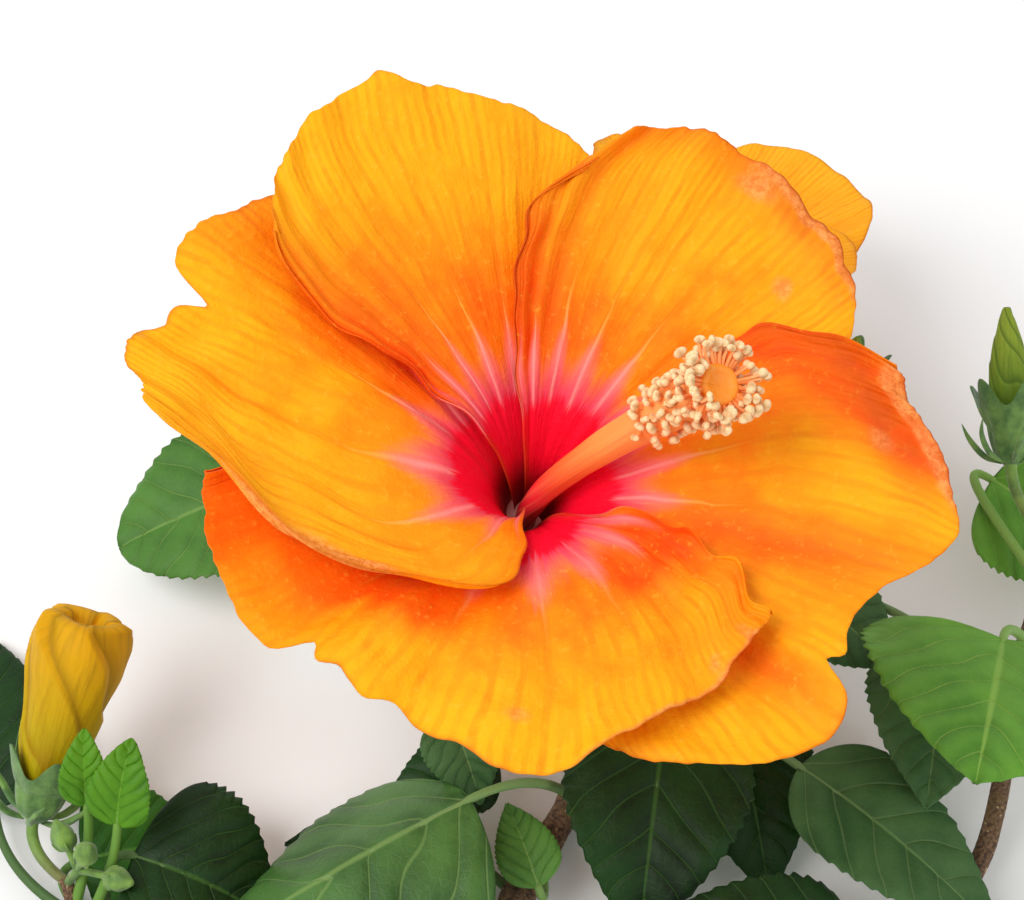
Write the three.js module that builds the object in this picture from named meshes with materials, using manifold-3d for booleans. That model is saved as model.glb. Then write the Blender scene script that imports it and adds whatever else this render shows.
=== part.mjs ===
// A cut hibiscus branch, lying on its side: three woody shoots from one cut foot, a wide open
// bloom that faces up, a second bloom behind it, buds, and toothed leaves on their stalks.
// Millimetres, +Z up, the floor at z = 0, the cut foot towards -Y. The sizes below are laid out
// about a middle of their own, and MIDDLE moves the whole branch to stand centred on its origin.

import * as THREE from "three";
import { mergeVertices } from "three/addons/utils/BufferGeometryUtils.js";
import Module from "manifold-3d";

// ---------------------------------------------------------------- driving dimensions

const MIDDLE = [2.45, -10.4]; // the middle of the branch seen from above
const GAP = 0.3; // clearance between two pieces that grow together
const PETAL_THICKNESS = 0.9;
const LEAF_THICKNESS = 0.85;
const TEETH = 5; // teeth along each edge of a leaf
const LEAF_STALK = [1.1, 0.7]; // radius where it leaves the wood, and under the blade
const BLOOM_STALK_RADIUS = 1.7;
const BUD_STALK_RADIUS = 1.2;
const BRACTS = 6; // slender green bracts under each calyx
const CALYX_POINTS = 5;
const CALYX_WALL = 0.9;
const CALYX_FLOOR = -1; // depth of the cup's floor below the throat

// The woody shoots: points along the middle of each, and the radius at its foot and tip.
const SHOOTS = {
  main_stem: {
    points: [
      [-24, -116, 3.7],
      [-16, -98, 3.6],
      [-7, -78, 3.6],
      [4, -56, 5],
      [14, -38, 6.5],
      [22, -18, 6.5],
      [29, 8, 4.5],
      [34, 38, 2.4],
    ],
    radii: [3.7, 2.1],
  },
  right_shoot: {
    points: [
      [-16, -98, 3.6],
      [12, -91, 2.9],
      [46, -81, 2.7],
      [76, -71, 3.4],
      [90, -57, 8],
      [96, -40, 14],
      [99, -25, 20],
      [104, -8, 25],
      [108, 10, 27],
    ],
    radii: [2.9, 1.5],
  },
  left_shoot: {
    points: [
      [-19, -104, 3.6],
      [-31, -91, 2.5],
      [-52, -82, 2.3],
      [-72, -75, 4],
      [-82, -68, 7],
      [-86, -60, 11],
    ],
    radii: [2.5, 1.3],
  },
};

// Petals, named by where they lie round the bloom. bearing is the middle of the petal, in
// degrees about the axis. right and left are the half widths in degrees on its two sides, at five
// or more places from foot to rim. reach is its length at places from the right edge to the left.
// notches are places where the rim is pulled in: across (-1 to 1), width and share of the length.
const MAIN_PETALS = {
  upper_left: {
    bearing: 108,
    right: [36, 36, 38, 40, 40],
    left: [30, 29, 31, 37, 39, 41, 43, 42, 37],
    reach: [60, 68, 74, 79, 83.5, 85.5, 83, 78, 70],
    notches: [[0.09, 0.05, -0.02]],
  },
  upper_right: {
    bearing: 58,
    right: [44, 46, 48, 48, 46],
    left: [36, 40, 43, 43, 43, 41, 37.5, 33, 24],
    reach: [62, 70.5, 77.5, 78.5, 80, 80, 78, 73.5, 65],
    notches: [],
  },
  right: {
    bearing: -26,
    right: [40, 48, 56, 60, 60],
    left: [40, 41, 44, 52, 58, 60, 57, 49, 38],
    reach: [60, 67, 73, 79, 80, 72.5, 73, 80, 83, 81, 78, 75, 73],
    notches: [[-0.165, 0.05, 0.06]],
  },
  lower: {
    bearing: -101,
    right: [50, 66, 74, 76, 74],
    left: [54, 54, 54, 61, 71, 70, 69, 64, 61],
    reach: [66, 68, 69, 68, 64.5, 67, 70.5, 72.5, 69, 65.5, 64, 62.5, 61],
    notches: [
      [-0.304, 0.05, 0.1],
      [-0.135, 0.05, 0.03],
    ],
  },
  left: {
    bearing: 165,
    right: [45, 45, 48, 48, 44],
    left: [50, 80, 91, 95, 98, 95, 88, 68, 54, 46, 30, 23, 18],
    reach: [70, 73, 76, 78.5, 82.5, 80, 78, 82, 82.5, 81.5, 78, 77, 74],
    notches: [[-0.08, 0.05, 0.09]],
  },
};

// The second bloom's five petals are alike and evenly spaced.
const BACK_PETAL = {
  halfWidth: 46,
  reach: [33, 38.5, 43, 45.5, 46, 45.5, 43, 38.5, 33],
  firstBearing: 45,
};
const BACK_NAMES = ["right", "upper_right", "upper_left", "lower_left", "lower_right"];

// How a bloom opens: its petals leave the throat at startAngle from the axis and bend over to
// endAngle within the length bend. roll is how far each petal's left edge rides above its right.
const MAIN_BLOOM = {
  name: "main",
  throat: [2.4, -10.9, 63.2],
  axis: [0.082, -0.076, 0.994],
  cup: { throatRadius: 3.8, startAngle: 18, endAngle: 73, bend: 38 },
  roll: 5,
  columnTip: [32.5, -6, 55], // from the throat
  columnEnd: [0.4, -0.3, 0.87], // the way the tip looks
  columnRadius: 4.2,
  anthers: 24,
  calyx: { length: 24, radius: 7 },
  joins: { shoot: "main_stem", at: 0.66 },
  petalCells: [8, 22], // along and across each petal
};
const BACK_BLOOM = {
  name: "back",
  throat: [36, 53, 30],
  axis: [0.16, 0.42, 0.89],
  cup: { throatRadius: 3.2, startAngle: 18, endAngle: 66, bend: 34 },
  roll: 4.5,
  columnTip: [9, 18, 36],
  columnEnd: [0.3, 0.3, 0.9],
  columnRadius: 2.8,
  anthers: 10,
  calyx: { length: 15, radius: 6.4 },
  joins: { shoot: "main_stem", at: 0.985 },
  petalCells: [6, 8],
};

// Leaves, under the shoot that bears them: how far along it, the blade's foot and tip, its width,
// its roll about the midrib in degrees, and how far the midrib arches up. via is a point that
// the stalk bends towards, fold the rise of the two halves in degrees, and blunt rounds the tip.
const LEAF_DEFAULTS = { roll: 0, arch: 2, fold: 10, blunt: 0.85, young: false };
const LEAVES = {
  main_stem: {
    left_outer: { at: 0.8, foot: [-44, 25, 21], tip: [-82, 13, 11], width: 40, blunt: 0.5 },
    front_left: { at: 0.5, foot: [-8, -51, 28], tip: [-60, -81, 20], width: 50, roll: -20, fold: -20 },
    under_left: { at: 0.62, foot: [-12, -32, 26], tip: [-6, -47, 16], width: 17 },
    behind_left: { at: 0.56, foot: [-3, -36, 12], tip: [-25, -45, 9], width: 20 },
    inner_front: { at: 0.42, foot: [5, -63, 14], tip: [-1, -46, 14], width: 13 },
    centre: { at: 0.68, foot: [30, -30, 21], tip: [24, -72, 8], width: 38, arch: 5 },
    centre_right: { at: 0.74, foot: [44, -27, 12], tip: [50, -61, 4], width: 28, arch: 4 },
    low_right: { at: 0.8, foot: [56, -40, 18], tip: [93, -72, 10], width: 27, arch: 4 },
    behind_right: { at: 0.86, via: [76, -4, 26], foot: [85, -18, 25], tip: [79, -50, 21], width: 30 },
    right_under: { at: 0.9, foot: [55, -4, 26], tip: [76, -20, 20], width: 24 },
    middle_low: { at: 0.36, foot: [-14, -52, 5], tip: [-45, -49, 1], width: 18, arch: 3 },
    under_bloom: { at: 0.7, foot: [-4, 4, 20], tip: [-46, -6, 16], width: 34, arch: 4 },
    back_left: { at: 0.9, foot: [6, 36, 12], tip: [-34, 60, 1], width: 38, arch: 4 },
    back_right: { at: 0.9, foot: [54, 46, 8], tip: [72, 80, 1], width: 32, arch: 3 },
    back_tip: { at: 0.96, via: [24, 44, 4], foot: [22, 58, 5], tip: [12, 92, 1], width: 32, arch: 3 },
  },
  right_shoot: {
    front_right: { at: 0.3, foot: [64, -84, 12], tip: [22, -73, 15], width: 38, arch: 5 },
    right_front: { at: 0.86, foot: [94, -22, 37], tip: [83, -57, 49], width: 54, blunt: 0.7 },
    right_outer: { at: 0.93, foot: [100, 24, 20], tip: [122, 8, 8], width: 32, arch: 3 },
  },
  left_shoot: {
    left_low: { at: 0.8, foot: [-72, -58, 17], tip: [-46, -67, 6], width: 38, arch: 4, blunt: 0.65 },
    left_under: { at: 0.65, foot: [-84, -54, 5], tip: [-63, -49, 1.5], width: 32, arch: 1.5, blunt: 0.5 },
    left_corner: { at: 0.7, foot: [-90, -74, 9], tip: [-106, -98, 2], width: 32, arch: 3 },
    left_back: { at: 0.9, foot: [-102, -44, 7], tip: [-108, -4, 2], width: 28, arch: 3 },
    young_right: { at: 0.88, foot: [-74, -56, 27], tip: [-71, -43, 37], width: 13, young: true },
    young_left: { at: 0.93, foot: [-80, -52, 27], tip: [-80, -41, 37], width: 10, young: true },
  },
};

// Buds: the foot and direction of each, its length and radius, and its outline as shares of
// that radius from foot to tip. The rolled bud shows its colour; the others are shut and green.
const BUDS = {
  rolled_bud: {
    foot: [-91, -44, 17],
    towards: [-81.5, -21, 39],
    length: 35,
    radius: 8.2,
    outline: [0.42, 0.66, 0.86, 1, 1, 1.05, 1.08, 0.92, 0.5],
    calyx: { length: 7, radius: 5.2 },
    joins: { shoot: "left_shoot", at: 0.99 },
    look: "bud",
  },
  right_bud: {
    foot: [101, 27, 36],
    towards: [101, 50, 47],
    length: 24,
    radius: 4,
    outline: [0.6, 0.85, 1, 1, 0.92, 0.75, 0.5, 0.22],
    calyx: { length: 8, radius: 4.6 },
    joins: { shoot: "right_shoot", at: 0.985 },
    look: "green",
  },
  side_bud: {
    foot: [63, 21, 60],
    towards: [68, 30, 72],
    length: 10,
    radius: 2.9,
    outline: [0.6, 0.9, 1, 1, 0.85, 0.55, 0.2],
    calyx: { length: 6, radius: 3.6 },
    joins: { shoot: "main_stem", at: 0.95 },
    look: "green",
  },
};
const SMALL_BUDS = {
  joins: { shoot: "left_shoot", at: 0.985 },
  radius: 2.3,
  outline: [0.3, 0.85, 1, 0.7, 0.2],
  stalkRadius: 0.9,
  tips: [
    [-85, -56, 22],
    [-80, -60, 23],
    [-74, -64, 20],
  ],
};

// ---------------------------------------------------------------- solids

const wasm = await Module();
wasm.setup();

const vec = (x, y, z) => new THREE.Vector3(x, y, z);
const vecOf = (a) => new THREE.Vector3(a[0], a[1], a[2]);
const radians = THREE.MathUtils.degToRad;

// A closed geometry as a solid for joining and cutting.
function solidOf(geometry) {
  const bare = geometry.clone();
  bare.deleteAttribute("normal");
  bare.deleteAttribute("uv");
  const merged = mergeVertices(bare, 1e-4);
  const mesh = new wasm.Mesh({
    numProp: 3,
    vertProperties: merged.attributes.position.array,
    triVerts: new Uint32Array(merged.index.array),
  });
  return new wasm.Manifold(mesh);
}

// A solid as a geometry. Only its largest piece is kept, so a cut leaves no scrap behind.
function geometryOf(solid) {
  const largest = solid.decompose().sort((a, b) => b.volume() - a.volume())[0];
  const mesh = largest.getMesh();
  const geometry = new THREE.BufferGeometry();
  geometry.setAttribute("position", new THREE.BufferAttribute(mesh.vertProperties, 3));
  geometry.setIndex(new THREE.BufferAttribute(mesh.triVerts, 1));
  return geometry;
}

function indexedGeometry(points, faces) {
  const geometry = new THREE.BufferGeometry();
  const flat = points.flatMap((p) => p.toArray());
  geometry.setAttribute("position", new THREE.Float32BufferAttribute(flat, 3));
  geometry.setIndex(faces.flat());
  return geometry;
}

// A thin closed body on both sides of surface(u, v), u along and v across, each from 0 to 1.
function slab(surface, along, across, thickness) {
  const at = (i, j) => surface(i / along, j / across);
  const top = [];
  const bottom = [];
  for (let i = 0; i <= along; i++) {
    for (let j = 0; j <= across; j++) {
      const du = at(Math.min(i + 1, along), j).sub(at(Math.max(i - 1, 0), j));
      const dv = at(i, Math.min(j + 1, across)).sub(at(i, Math.max(j - 1, 0)));
      const half = du.cross(dv).setLength(thickness / 2);
      top.push(at(i, j).add(half));
      bottom.push(at(i, j).sub(half));
    }
  }
  const shift = top.length;
  const id = (i, j) => i * (across + 1) + j;
  const faces = [];
  const quad = (a, b, c, d) => faces.push([a, b, c], [a, c, d]);
  for (let i = 0; i < along; i++) {
    for (let j = 0; j < across; j++) {
      quad(id(i, j), id(i + 1, j), id(i + 1, j + 1), id(i, j + 1));
      quad(shift + id(i, j), shift + id(i, j + 1), shift + id(i + 1, j + 1), shift + id(i + 1, j));
    }
    quad(id(i, 0), shift + id(i, 0), shift + id(i + 1, 0), id(i + 1, 0));
    quad(id(i + 1, across), shift + id(i + 1, across), shift + id(i, across), id(i, across));
  }
  for (let j = 0; j < across; j++) {
    quad(id(0, j + 1), shift + id(0, j + 1), shift + id(0, j), id(0, j));
    quad(id(along, j), shift + id(along, j), shift + id(along, j + 1), id(along, j + 1));
  }
  return indexedGeometry([...top, ...bottom], faces);
}

// A round rod along a curve, closed at both ends. radiusAt(t) gives its radius from foot to tip.
function rod(curve, radiusAt, steps, sides) {
  const frames = curve.computeFrenetFrames(steps, false);
  const points = [];
  const faces = [];
  for (let i = 0; i <= steps; i++) {
    const centre = curve.getPointAt(i / steps);
    for (let k = 0; k < sides; k++) {
      const turn = (2 * Math.PI * k) / sides;
      points.push(
        centre
          .clone()
          .addScaledVector(frames.normals[i], Math.cos(turn) * radiusAt(i / steps))
          .addScaledVector(frames.binormals[i], Math.sin(turn) * radiusAt(i / steps)),
      );
    }
  }
  const id = (i, k) => i * sides + (k % sides);
  for (let i = 0; i < steps; i++) {
    for (let k = 0; k < sides; k++) {
      faces.push([id(i, k), id(i, k + 1), id(i + 1, k + 1)], [id(i, k), id(i + 1, k + 1), id(i + 1, k)]);
    }
  }
  for (let k = 1; k < sides - 1; k++) {
    faces.push([id(0, 0), id(0, k + 1), id(0, k)], [id(steps, 0), id(steps, k), id(steps, k + 1)]);
  }
  return indexedGeometry(points, faces);
}

const smoothCurve = (points) => new THREE.CatmullRomCurve3(points, false, "centripetal");
const tapering = (foot, tip) => (t) => foot + (tip - foot) * t;

// A smooth curve through equally spaced stations, read at x from 0 to 1.
function through(stations, x) {
  const last = stations.length - 1;
  const place = THREE.MathUtils.clamp(x, 0, 1) * last;
  const i = Math.min(Math.floor(place), last - 1);
  const f = place - i;
  const b = stations[i];
  const c = stations[i + 1];
  const a = i > 0 ? stations[i - 1] : 2 * b - c;
  const d = i + 2 <= last ? stations[i + 2] : 2 * c - b;
  return b + 0.5 * f * (c - a + f * (2 * a - 5 * b + 4 * c - d + f * (3 * (b - c) + d - a)));
}

// ---------------------------------------------------------------- the branch

const branch = new THREE.Group();
const colours = {
  petal: [0xff9f14, 0.6],
  column: [0xff9a5a, 0.5],
  leaf: [0x3f7a2a, 0.45],
  youngLeaf: [0x5c9a1e, 0.45],
  wood: [0x6b4a36, 0.8],
  green: [0x5f9a30, 0.55],
  bud: [0xe0b828, 0.6],
};

function add(name, geometry, look) {
  const [color, roughness] = colours[look];
  const material = new THREE.MeshStandardMaterial({ color, roughness, metalness: 0 });
  geometry.computeVertexNormals();
  const mesh = new THREE.Mesh(geometry, material);
  mesh.name = name;
  branch.add(mesh);
}

// Each shoot as its curve, its solid, and the same solid grown by the clearance.
function shoot({ points, radii }) {
  const curve = smoothCurve(points.map(vecOf));
  const [foot, tip] = radii;
  const steps = 14;
  const sides = 8;
  return {
    curve,
    solid: solidOf(rod(curve, tapering(foot, tip), steps, sides)),
    grown: solidOf(rod(curve, tapering(foot + GAP, tip + GAP), steps, sides)),
  };
}

const shoots = {};
for (const [name, row] of Object.entries(SHOOTS)) {
  shoots[name] = shoot(row);
}
for (const [name, { solid }] of Object.entries(shoots)) {
  const seated = name === "main_stem" ? solid : solid.subtract(shoots.main_stem.grown);
  add(name, geometryOf(seated), "wood");
}

// ---------------------------------------------------------------- blooms

// The bloom's own frame: along its axis, and two directions across it, the first towards +X.
function frameOf({ throat, axis }) {
  const up = vecOf(axis).normalize();
  const across = vec(1, 0, 0).addScaledVector(up, -up.x).normalize();
  const beyond = up.clone().cross(across);
  return { base: vecOf(throat), up, across, beyond };
}

// The corolla's side line: radius, height and slope at every half millimetre from the throat.
function sideLine(cup) {
  const step = 0.5;
  const longest = 110;
  const line = [{ radius: cup.throatRadius, height: 0, angle: radians(cup.startAngle) }];
  for (let s = step; s < longest; s += step) {
    const bent = THREE.MathUtils.smoothstep(s, 0, cup.bend);
    const angle = radians(cup.startAngle + (cup.endAngle - cup.startAngle) * bent);
    const { radius, height } = line.at(-1);
    line.push({ radius: radius + step * Math.sin(angle), height: height + step * Math.cos(angle), angle });
  }
  return (s) => {
    const i = Math.min(Math.floor(s / step), line.length - 2);
    const f = s / step - i;
    const mix = (key) => line[i][key] + (line[i + 1][key] - line[i][key]) * f;
    return { radius: mix("radius"), height: mix("height"), angle: mix("angle") };
  };
}

// A petal's middle surface. along runs from foot to rim, and q across it from -1 to 1. The
// petals overlap like a pinwheel: each is tilted across by the roll, a quarter of it at its foot.
function petalSurface(petal, frame, cup, roll) {
  const side = sideLine(cup);
  return (along, v) => {
    const q = 2 * v - 1;
    const across = Math.sin((Math.PI / 2) * q);
    const halfWidth = through(across < 0 ? petal.right : petal.left, along);
    let reach = through(petal.reach, (across + 1) / 2);
    for (const [place, width, depth] of petal.notches) {
      reach *= 1 - depth * Math.exp(-(((q - place) / width) ** 2));
    }
    const { radius, height, angle } = side(along * reach);
    const bearing = radians(petal.bearing + across * halfWidth);
    const lift = roll * across * THREE.MathUtils.lerp(0.25, 1, along);
    const out = frame.across
      .clone()
      .multiplyScalar(Math.cos(bearing))
      .addScaledVector(frame.beyond, Math.sin(bearing));
    return frame.base
      .clone()
      .addScaledVector(out, radius - lift * Math.cos(angle))
      .addScaledVector(frame.up, height + lift * Math.sin(angle));
  };
}

// The column: a rod from the throat that widens to its tip, with anthers on short threads round
// the outer fifth of it, dealt out by the golden angle. Each leans a little towards the tip.
function column(bloom, frame) {
  const { columnRadius: radius, anthers } = bloom;
  const bearingPart = [0.8, 0.99];
  const lean = 0.3;
  const threadLength = 1.95 * radius;
  const tip = frame.base.clone().add(vecOf(bloom.columnTip));
  const foot = frame.base.clone().addScaledVector(frame.up, CALYX_FLOOR + GAP);
  const third = tip.distanceTo(foot) / 3;
  const looks = vecOf(bloom.columnEnd).normalize();
  const curve = new THREE.CubicBezierCurve3(
    foot,
    foot.clone().addScaledVector(frame.up, third),
    tip.clone().addScaledVector(looks, -third),
    tip,
  );
  const profile = [0.3, 0.6, 0.8, 0.85, 0.9, 1, 1.15].map((share) => share * radius);
  let solid = solidOf(rod(curve, (t) => through(profile, t), 9, 8));
  const goldenTurn = Math.PI * (3 - Math.sqrt(5));
  const stations = 100;
  const frames = curve.computeFrenetFrames(stations, false);
  for (let i = 0; i < anthers; i++) {
    const share = THREE.MathUtils.lerp(...bearingPart, i / (anthers - 1));
    const step = Math.round(share * stations);
    const turn = i * goldenTurn;
    const out = frames.normals[step]
      .clone()
      .multiplyScalar(Math.cos(turn))
      .addScaledVector(frames.binormals[step], Math.sin(turn))
      .addScaledVector(frames.tangents[step], lean)
      .normalize();
    const root = curve.getPointAt(share).addScaledVector(out, 0.5 * radius);
    const thread = new THREE.LineCurve3(root, root.clone().addScaledVector(out, threadLength));
    const swell = [0.1, 0.1, 0.36, 0.16].map((part) => part * radius);
    solid = solid.add(solidOf(rod(thread, (t) => through(swell, t), 3, 3)));
  }
  return geometryOf(solid);
}

// The calyx: a green bell that holds the petals' feet, split into five points, with slender
// bracts that curve out below it.
function calyx(frame, { length, radius }) {
  const sides = 2 * CALYX_POINTS;
  const flare = 0.38;
  const point = (r, z, turn) =>
    frame.base
      .clone()
      .addScaledVector(frame.across, r * Math.cos(turn))
      .addScaledVector(frame.beyond, r * Math.sin(turn))
      .addScaledVector(frame.up, z);
  const ring = (turn) => {
    const peak = 0.5 + 0.5 * Math.cos(CALYX_POINTS * turn);
    const rim = 3.5 + 5.5 * peak;
    return [
      [radius * 0.3, -length],
      [radius * 0.72, -length * 0.8],
      [radius * 0.96, -length * 0.25],
      [radius + flare * rim + CALYX_WALL, rim],
      [radius + flare * rim, rim],
      [radius - 0.2, 0],
      [radius * 0.8, CALYX_FLOOR],
    ];
  };
  const points = [];
  const faces = [];
  const count = ring(0).length;
  for (let k = 0; k < sides; k++) {
    const turn = (2 * Math.PI * k) / sides;
    for (const [r, z] of ring(turn)) {
      points.push(point(r, z, turn));
    }
  }
  const foot = points.push(point(0, -length, 0)) - 1;
  const floor = points.push(point(0, CALYX_FLOOR, 0)) - 1;
  const id = (k, i) => (k % sides) * count + i;
  for (let k = 0; k < sides; k++) {
    for (let i = 0; i < count - 1; i++) {
      faces.push([id(k, i), id(k + 1, i), id(k + 1, i + 1)], [id(k, i), id(k + 1, i + 1), id(k, i + 1)]);
    }
    faces.push([foot, id(k + 1, 0), id(k, 0)], [floor, id(k, count - 1), id(k + 1, count - 1)]);
  }
  let solid = solidOf(indexedGeometry(points, faces));
  for (let k = 0; k < BRACTS; k++) {
    const turn = (2 * Math.PI * (k + 0.5)) / BRACTS;
    const curl = smoothCurve([
      point(radius * 0.4, -length * 0.93, turn),
      point(radius * 1.15, -length * 0.75, turn),
      point(radius * 1.8, -length * 0.3, turn + 0.1),
      point(radius * 2.1, length * 0.1, turn + 0.25),
    ]);
    solid = solid.add(solidOf(rod(curl, tapering(radius * 0.14, radius * 0.05), 2, 3)));
  }
  return geometryOf(solid);
}

// A stalk from a shoot to the foot of a calyx, cut to the shoot.
function pedicel(frame, calyxLength, joins, radius) {
  const { curve, grown } = shoots[joins.shoot];
  const top = frame.base.clone().addScaledVector(frame.up, -calyxLength - GAP);
  const start = curve.getPointAt(joins.at);
  const bend = top.clone().addScaledVector(frame.up, -0.5 * top.distanceTo(start));
  const path = new THREE.QuadraticBezierCurve3(start, bend, top);
  return geometryOf(solidOf(rod(path, tapering(radius * 0.85, radius), 7, 6)).subtract(grown));
}

function bloomParts(bloom, petals) {
  const frame = frameOf(bloom);
  const [along, across] = bloom.petalCells;
  for (const [name, petal] of Object.entries(petals)) {
    const surface = petalSurface(petal, frame, bloom.cup, bloom.roll);
    add(`${bloom.name}_petal_${name}`, slab(surface, along, across, PETAL_THICKNESS), "petal");
  }
  add(`${bloom.name}_column`, column(bloom, frame), "column");
  add(`${bloom.name}_calyx`, calyx(frame, bloom.calyx), "green");
  const stalk = pedicel(frame, bloom.calyx.length, bloom.joins, BLOOM_STALK_RADIUS);
  add(`${bloom.name}_pedicel`, stalk, "green");
}

bloomParts(MAIN_BLOOM, MAIN_PETALS);

const backPetals = {};
BACK_NAMES.forEach((name, i) => {
  const { halfWidth, reach, firstBearing } = BACK_PETAL;
  backPetals[name] = {
    bearing: firstBearing + (360 / BACK_NAMES.length) * i,
    right: [halfWidth, halfWidth],
    left: [halfWidth, halfWidth],
    reach,
    notches: [],
  };
});
bloomParts(BACK_BLOOM, backPetals);

// ---------------------------------------------------------------- leaves

// A leaf's frame: along its midrib, across it, and out of its upper face.
function leafFrame({ foot, tip, roll }) {
  const from = vecOf(foot);
  const along = vecOf(tip).sub(from);
  const length = along.length();
  along.normalize();
  const up = vec(0, 0, 1).addScaledVector(along, -along.z).normalize();
  const normal = up.applyAxisAngle(along, radians(-roll));
  return { from, along, length, normal, across: along.clone().cross(normal) };
}

// A leaf's blade: broad near its foot, drawn out to a point, folded a little along the midrib,
// with a toothed edge that droops.
function bladeSurface(leaf) {
  const { from, along, length, normal, across } = leafFrame(leaf);
  const fold = radians(leaf.fold);
  const toothDepth = 0.1;
  const droop = 0.1;
  const narrowest = 0.6;
  return (u, v) => {
    const s = 2 * v - 1;
    const broad = Math.max(Math.sin(Math.PI * u ** 0.6), 0) ** leaf.blunt;
    const tooth = Math.round(2 * TEETH * u) % 2 === 0 ? 1 : 1 - toothDepth;
    const half = Math.max((leaf.width / 2) * broad * tooth, narrowest);
    const rise = half * Math.abs(s) * Math.sin(fold) - droop * half * s * s;
    const lift = 4 * leaf.arch * u * (1 - u) + rise;
    return from
      .clone()
      .addScaledVector(along, length * u)
      .addScaledVector(normal, lift)
      .addScaledVector(across, -half * s * Math.cos(fold));
  };
}

// The stalk starts inside the shoot, is cut to it, and runs on under the blade as its midrib.
function leafSolid(leaf, { curve, grown }) {
  const { from, along, length, normal } = leafFrame(leaf);
  const start = curve.getPointAt(leaf.at);
  const climb = along.clone().multiplyScalar(length).addScaledVector(normal, 4 * leaf.arch).normalize();
  const before = from.clone().addScaledVector(climb, -0.45 * from.distanceTo(start));
  const bend = leaf.via ? vecOf(leaf.via) : before;
  const end = from.clone().addScaledVector(climb, 0.1 * length);
  const path = new THREE.QuadraticBezierCurve3(start, bend, end);
  const stalk = solidOf(rod(path, tapering(...LEAF_STALK), 5, 5));
  const blade = solidOf(slab(bladeSurface(leaf), 2 * TEETH, 2, LEAF_THICKNESS));
  return geometryOf(stalk.add(blade).subtract(grown));
}

for (const [shootName, rows] of Object.entries(LEAVES)) {
  for (const [name, row] of Object.entries(rows)) {
    const leaf = { ...LEAF_DEFAULTS, ...row };
    add(`leaf_${name}`, leafSolid(leaf, shoots[shootName]), leaf.young ? "youngLeaf" : "leaf");
  }
}

// ---------------------------------------------------------------- buds

for (const [name, bud] of Object.entries(BUDS)) {
  const foot = vecOf(bud.foot);
  const axis = vecOf(bud.towards).sub(foot).normalize();
  const frame = frameOf({ throat: bud.foot, axis: axis.toArray() });
  const line = new THREE.LineCurve3(
    foot.clone().addScaledVector(axis, CALYX_FLOOR + GAP),
    foot.clone().addScaledVector(axis, bud.length),
  );
  const outline = bud.outline.map((share) => share * bud.radius);
  add(name, rod(line, (t) => through(outline, t), bud.outline.length - 1, 10), bud.look);
  add(`${name}_calyx`, calyx(frame, bud.calyx), "green");
  add(`${name}_stalk`, pedicel(frame, bud.calyx.length, bud.joins, BUD_STALK_RADIUS), "green");
}

// A tuft of small shut buds on one forked stalk.
function budTuft({ joins, radius, outline, stalkRadius, tips }) {
  const { curve, grown } = shoots[joins.shoot];
  const start = curve.getPointAt(joins.at);
  const fork = tips.reduce((sum, tip) => sum.add(vecOf(tip)), vec(0, 0, 0)).divideScalar(tips.length);
  fork.lerp(start, 0.45);
  const stalk = (from, to, share) => {
    const line = new THREE.LineCurve3(from, to);
    return solidOf(rod(line, () => share * stalkRadius, 1, 5));
  };
  const radii = outline.map((share) => share * radius);
  let solid = stalk(start, fork, 1);
  for (const tip of tips.map(vecOf)) {
    const away = tip.clone().sub(fork).setLength(1.5 * radius);
    const egg = new THREE.LineCurve3(tip.clone().sub(away), tip.clone().add(away));
    solid = solid.add(stalk(fork.clone().lerp(start, 0.1), tip, 0.8));
    solid = solid.add(solidOf(rod(egg, (t) => through(radii, t), outline.length - 1, 7)));
  }
  return geometryOf(solid.subtract(grown));
}
add("small_buds", budTuft(SMALL_BUDS), "green");

branch.position.set(-MIDDLE[0], -MIDDLE[1], 0);

export default branch;
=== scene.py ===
# Looks for a cut hibiscus branch that lies on its side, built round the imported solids.
# Tables and shape functions are in millimetres about the branch's own middle, as it was laid
# out, and every mesh is written in metres in the frame of the solids.

import bpy
import numpy as np
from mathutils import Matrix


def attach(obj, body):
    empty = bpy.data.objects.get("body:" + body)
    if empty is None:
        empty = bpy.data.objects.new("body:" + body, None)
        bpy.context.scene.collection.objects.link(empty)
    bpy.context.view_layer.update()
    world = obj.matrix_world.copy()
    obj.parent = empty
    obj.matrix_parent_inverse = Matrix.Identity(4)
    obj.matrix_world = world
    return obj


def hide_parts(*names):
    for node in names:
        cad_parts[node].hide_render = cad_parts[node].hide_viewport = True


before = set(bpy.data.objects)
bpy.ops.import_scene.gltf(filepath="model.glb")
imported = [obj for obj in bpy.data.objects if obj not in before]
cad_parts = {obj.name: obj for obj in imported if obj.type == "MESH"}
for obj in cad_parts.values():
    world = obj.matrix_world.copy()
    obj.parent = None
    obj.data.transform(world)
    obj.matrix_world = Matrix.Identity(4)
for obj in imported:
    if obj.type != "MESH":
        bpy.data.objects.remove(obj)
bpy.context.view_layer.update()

# ---------------------------------------------------------------- woody shoots
# Three shoots from one cut foot: young wood under thin grey-brown bark with pale pores, a
# little thicker at each joint where a leaf stands. The foot is cut across, so that the pale
# wood and its pith show. They grow out of each other.

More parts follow.
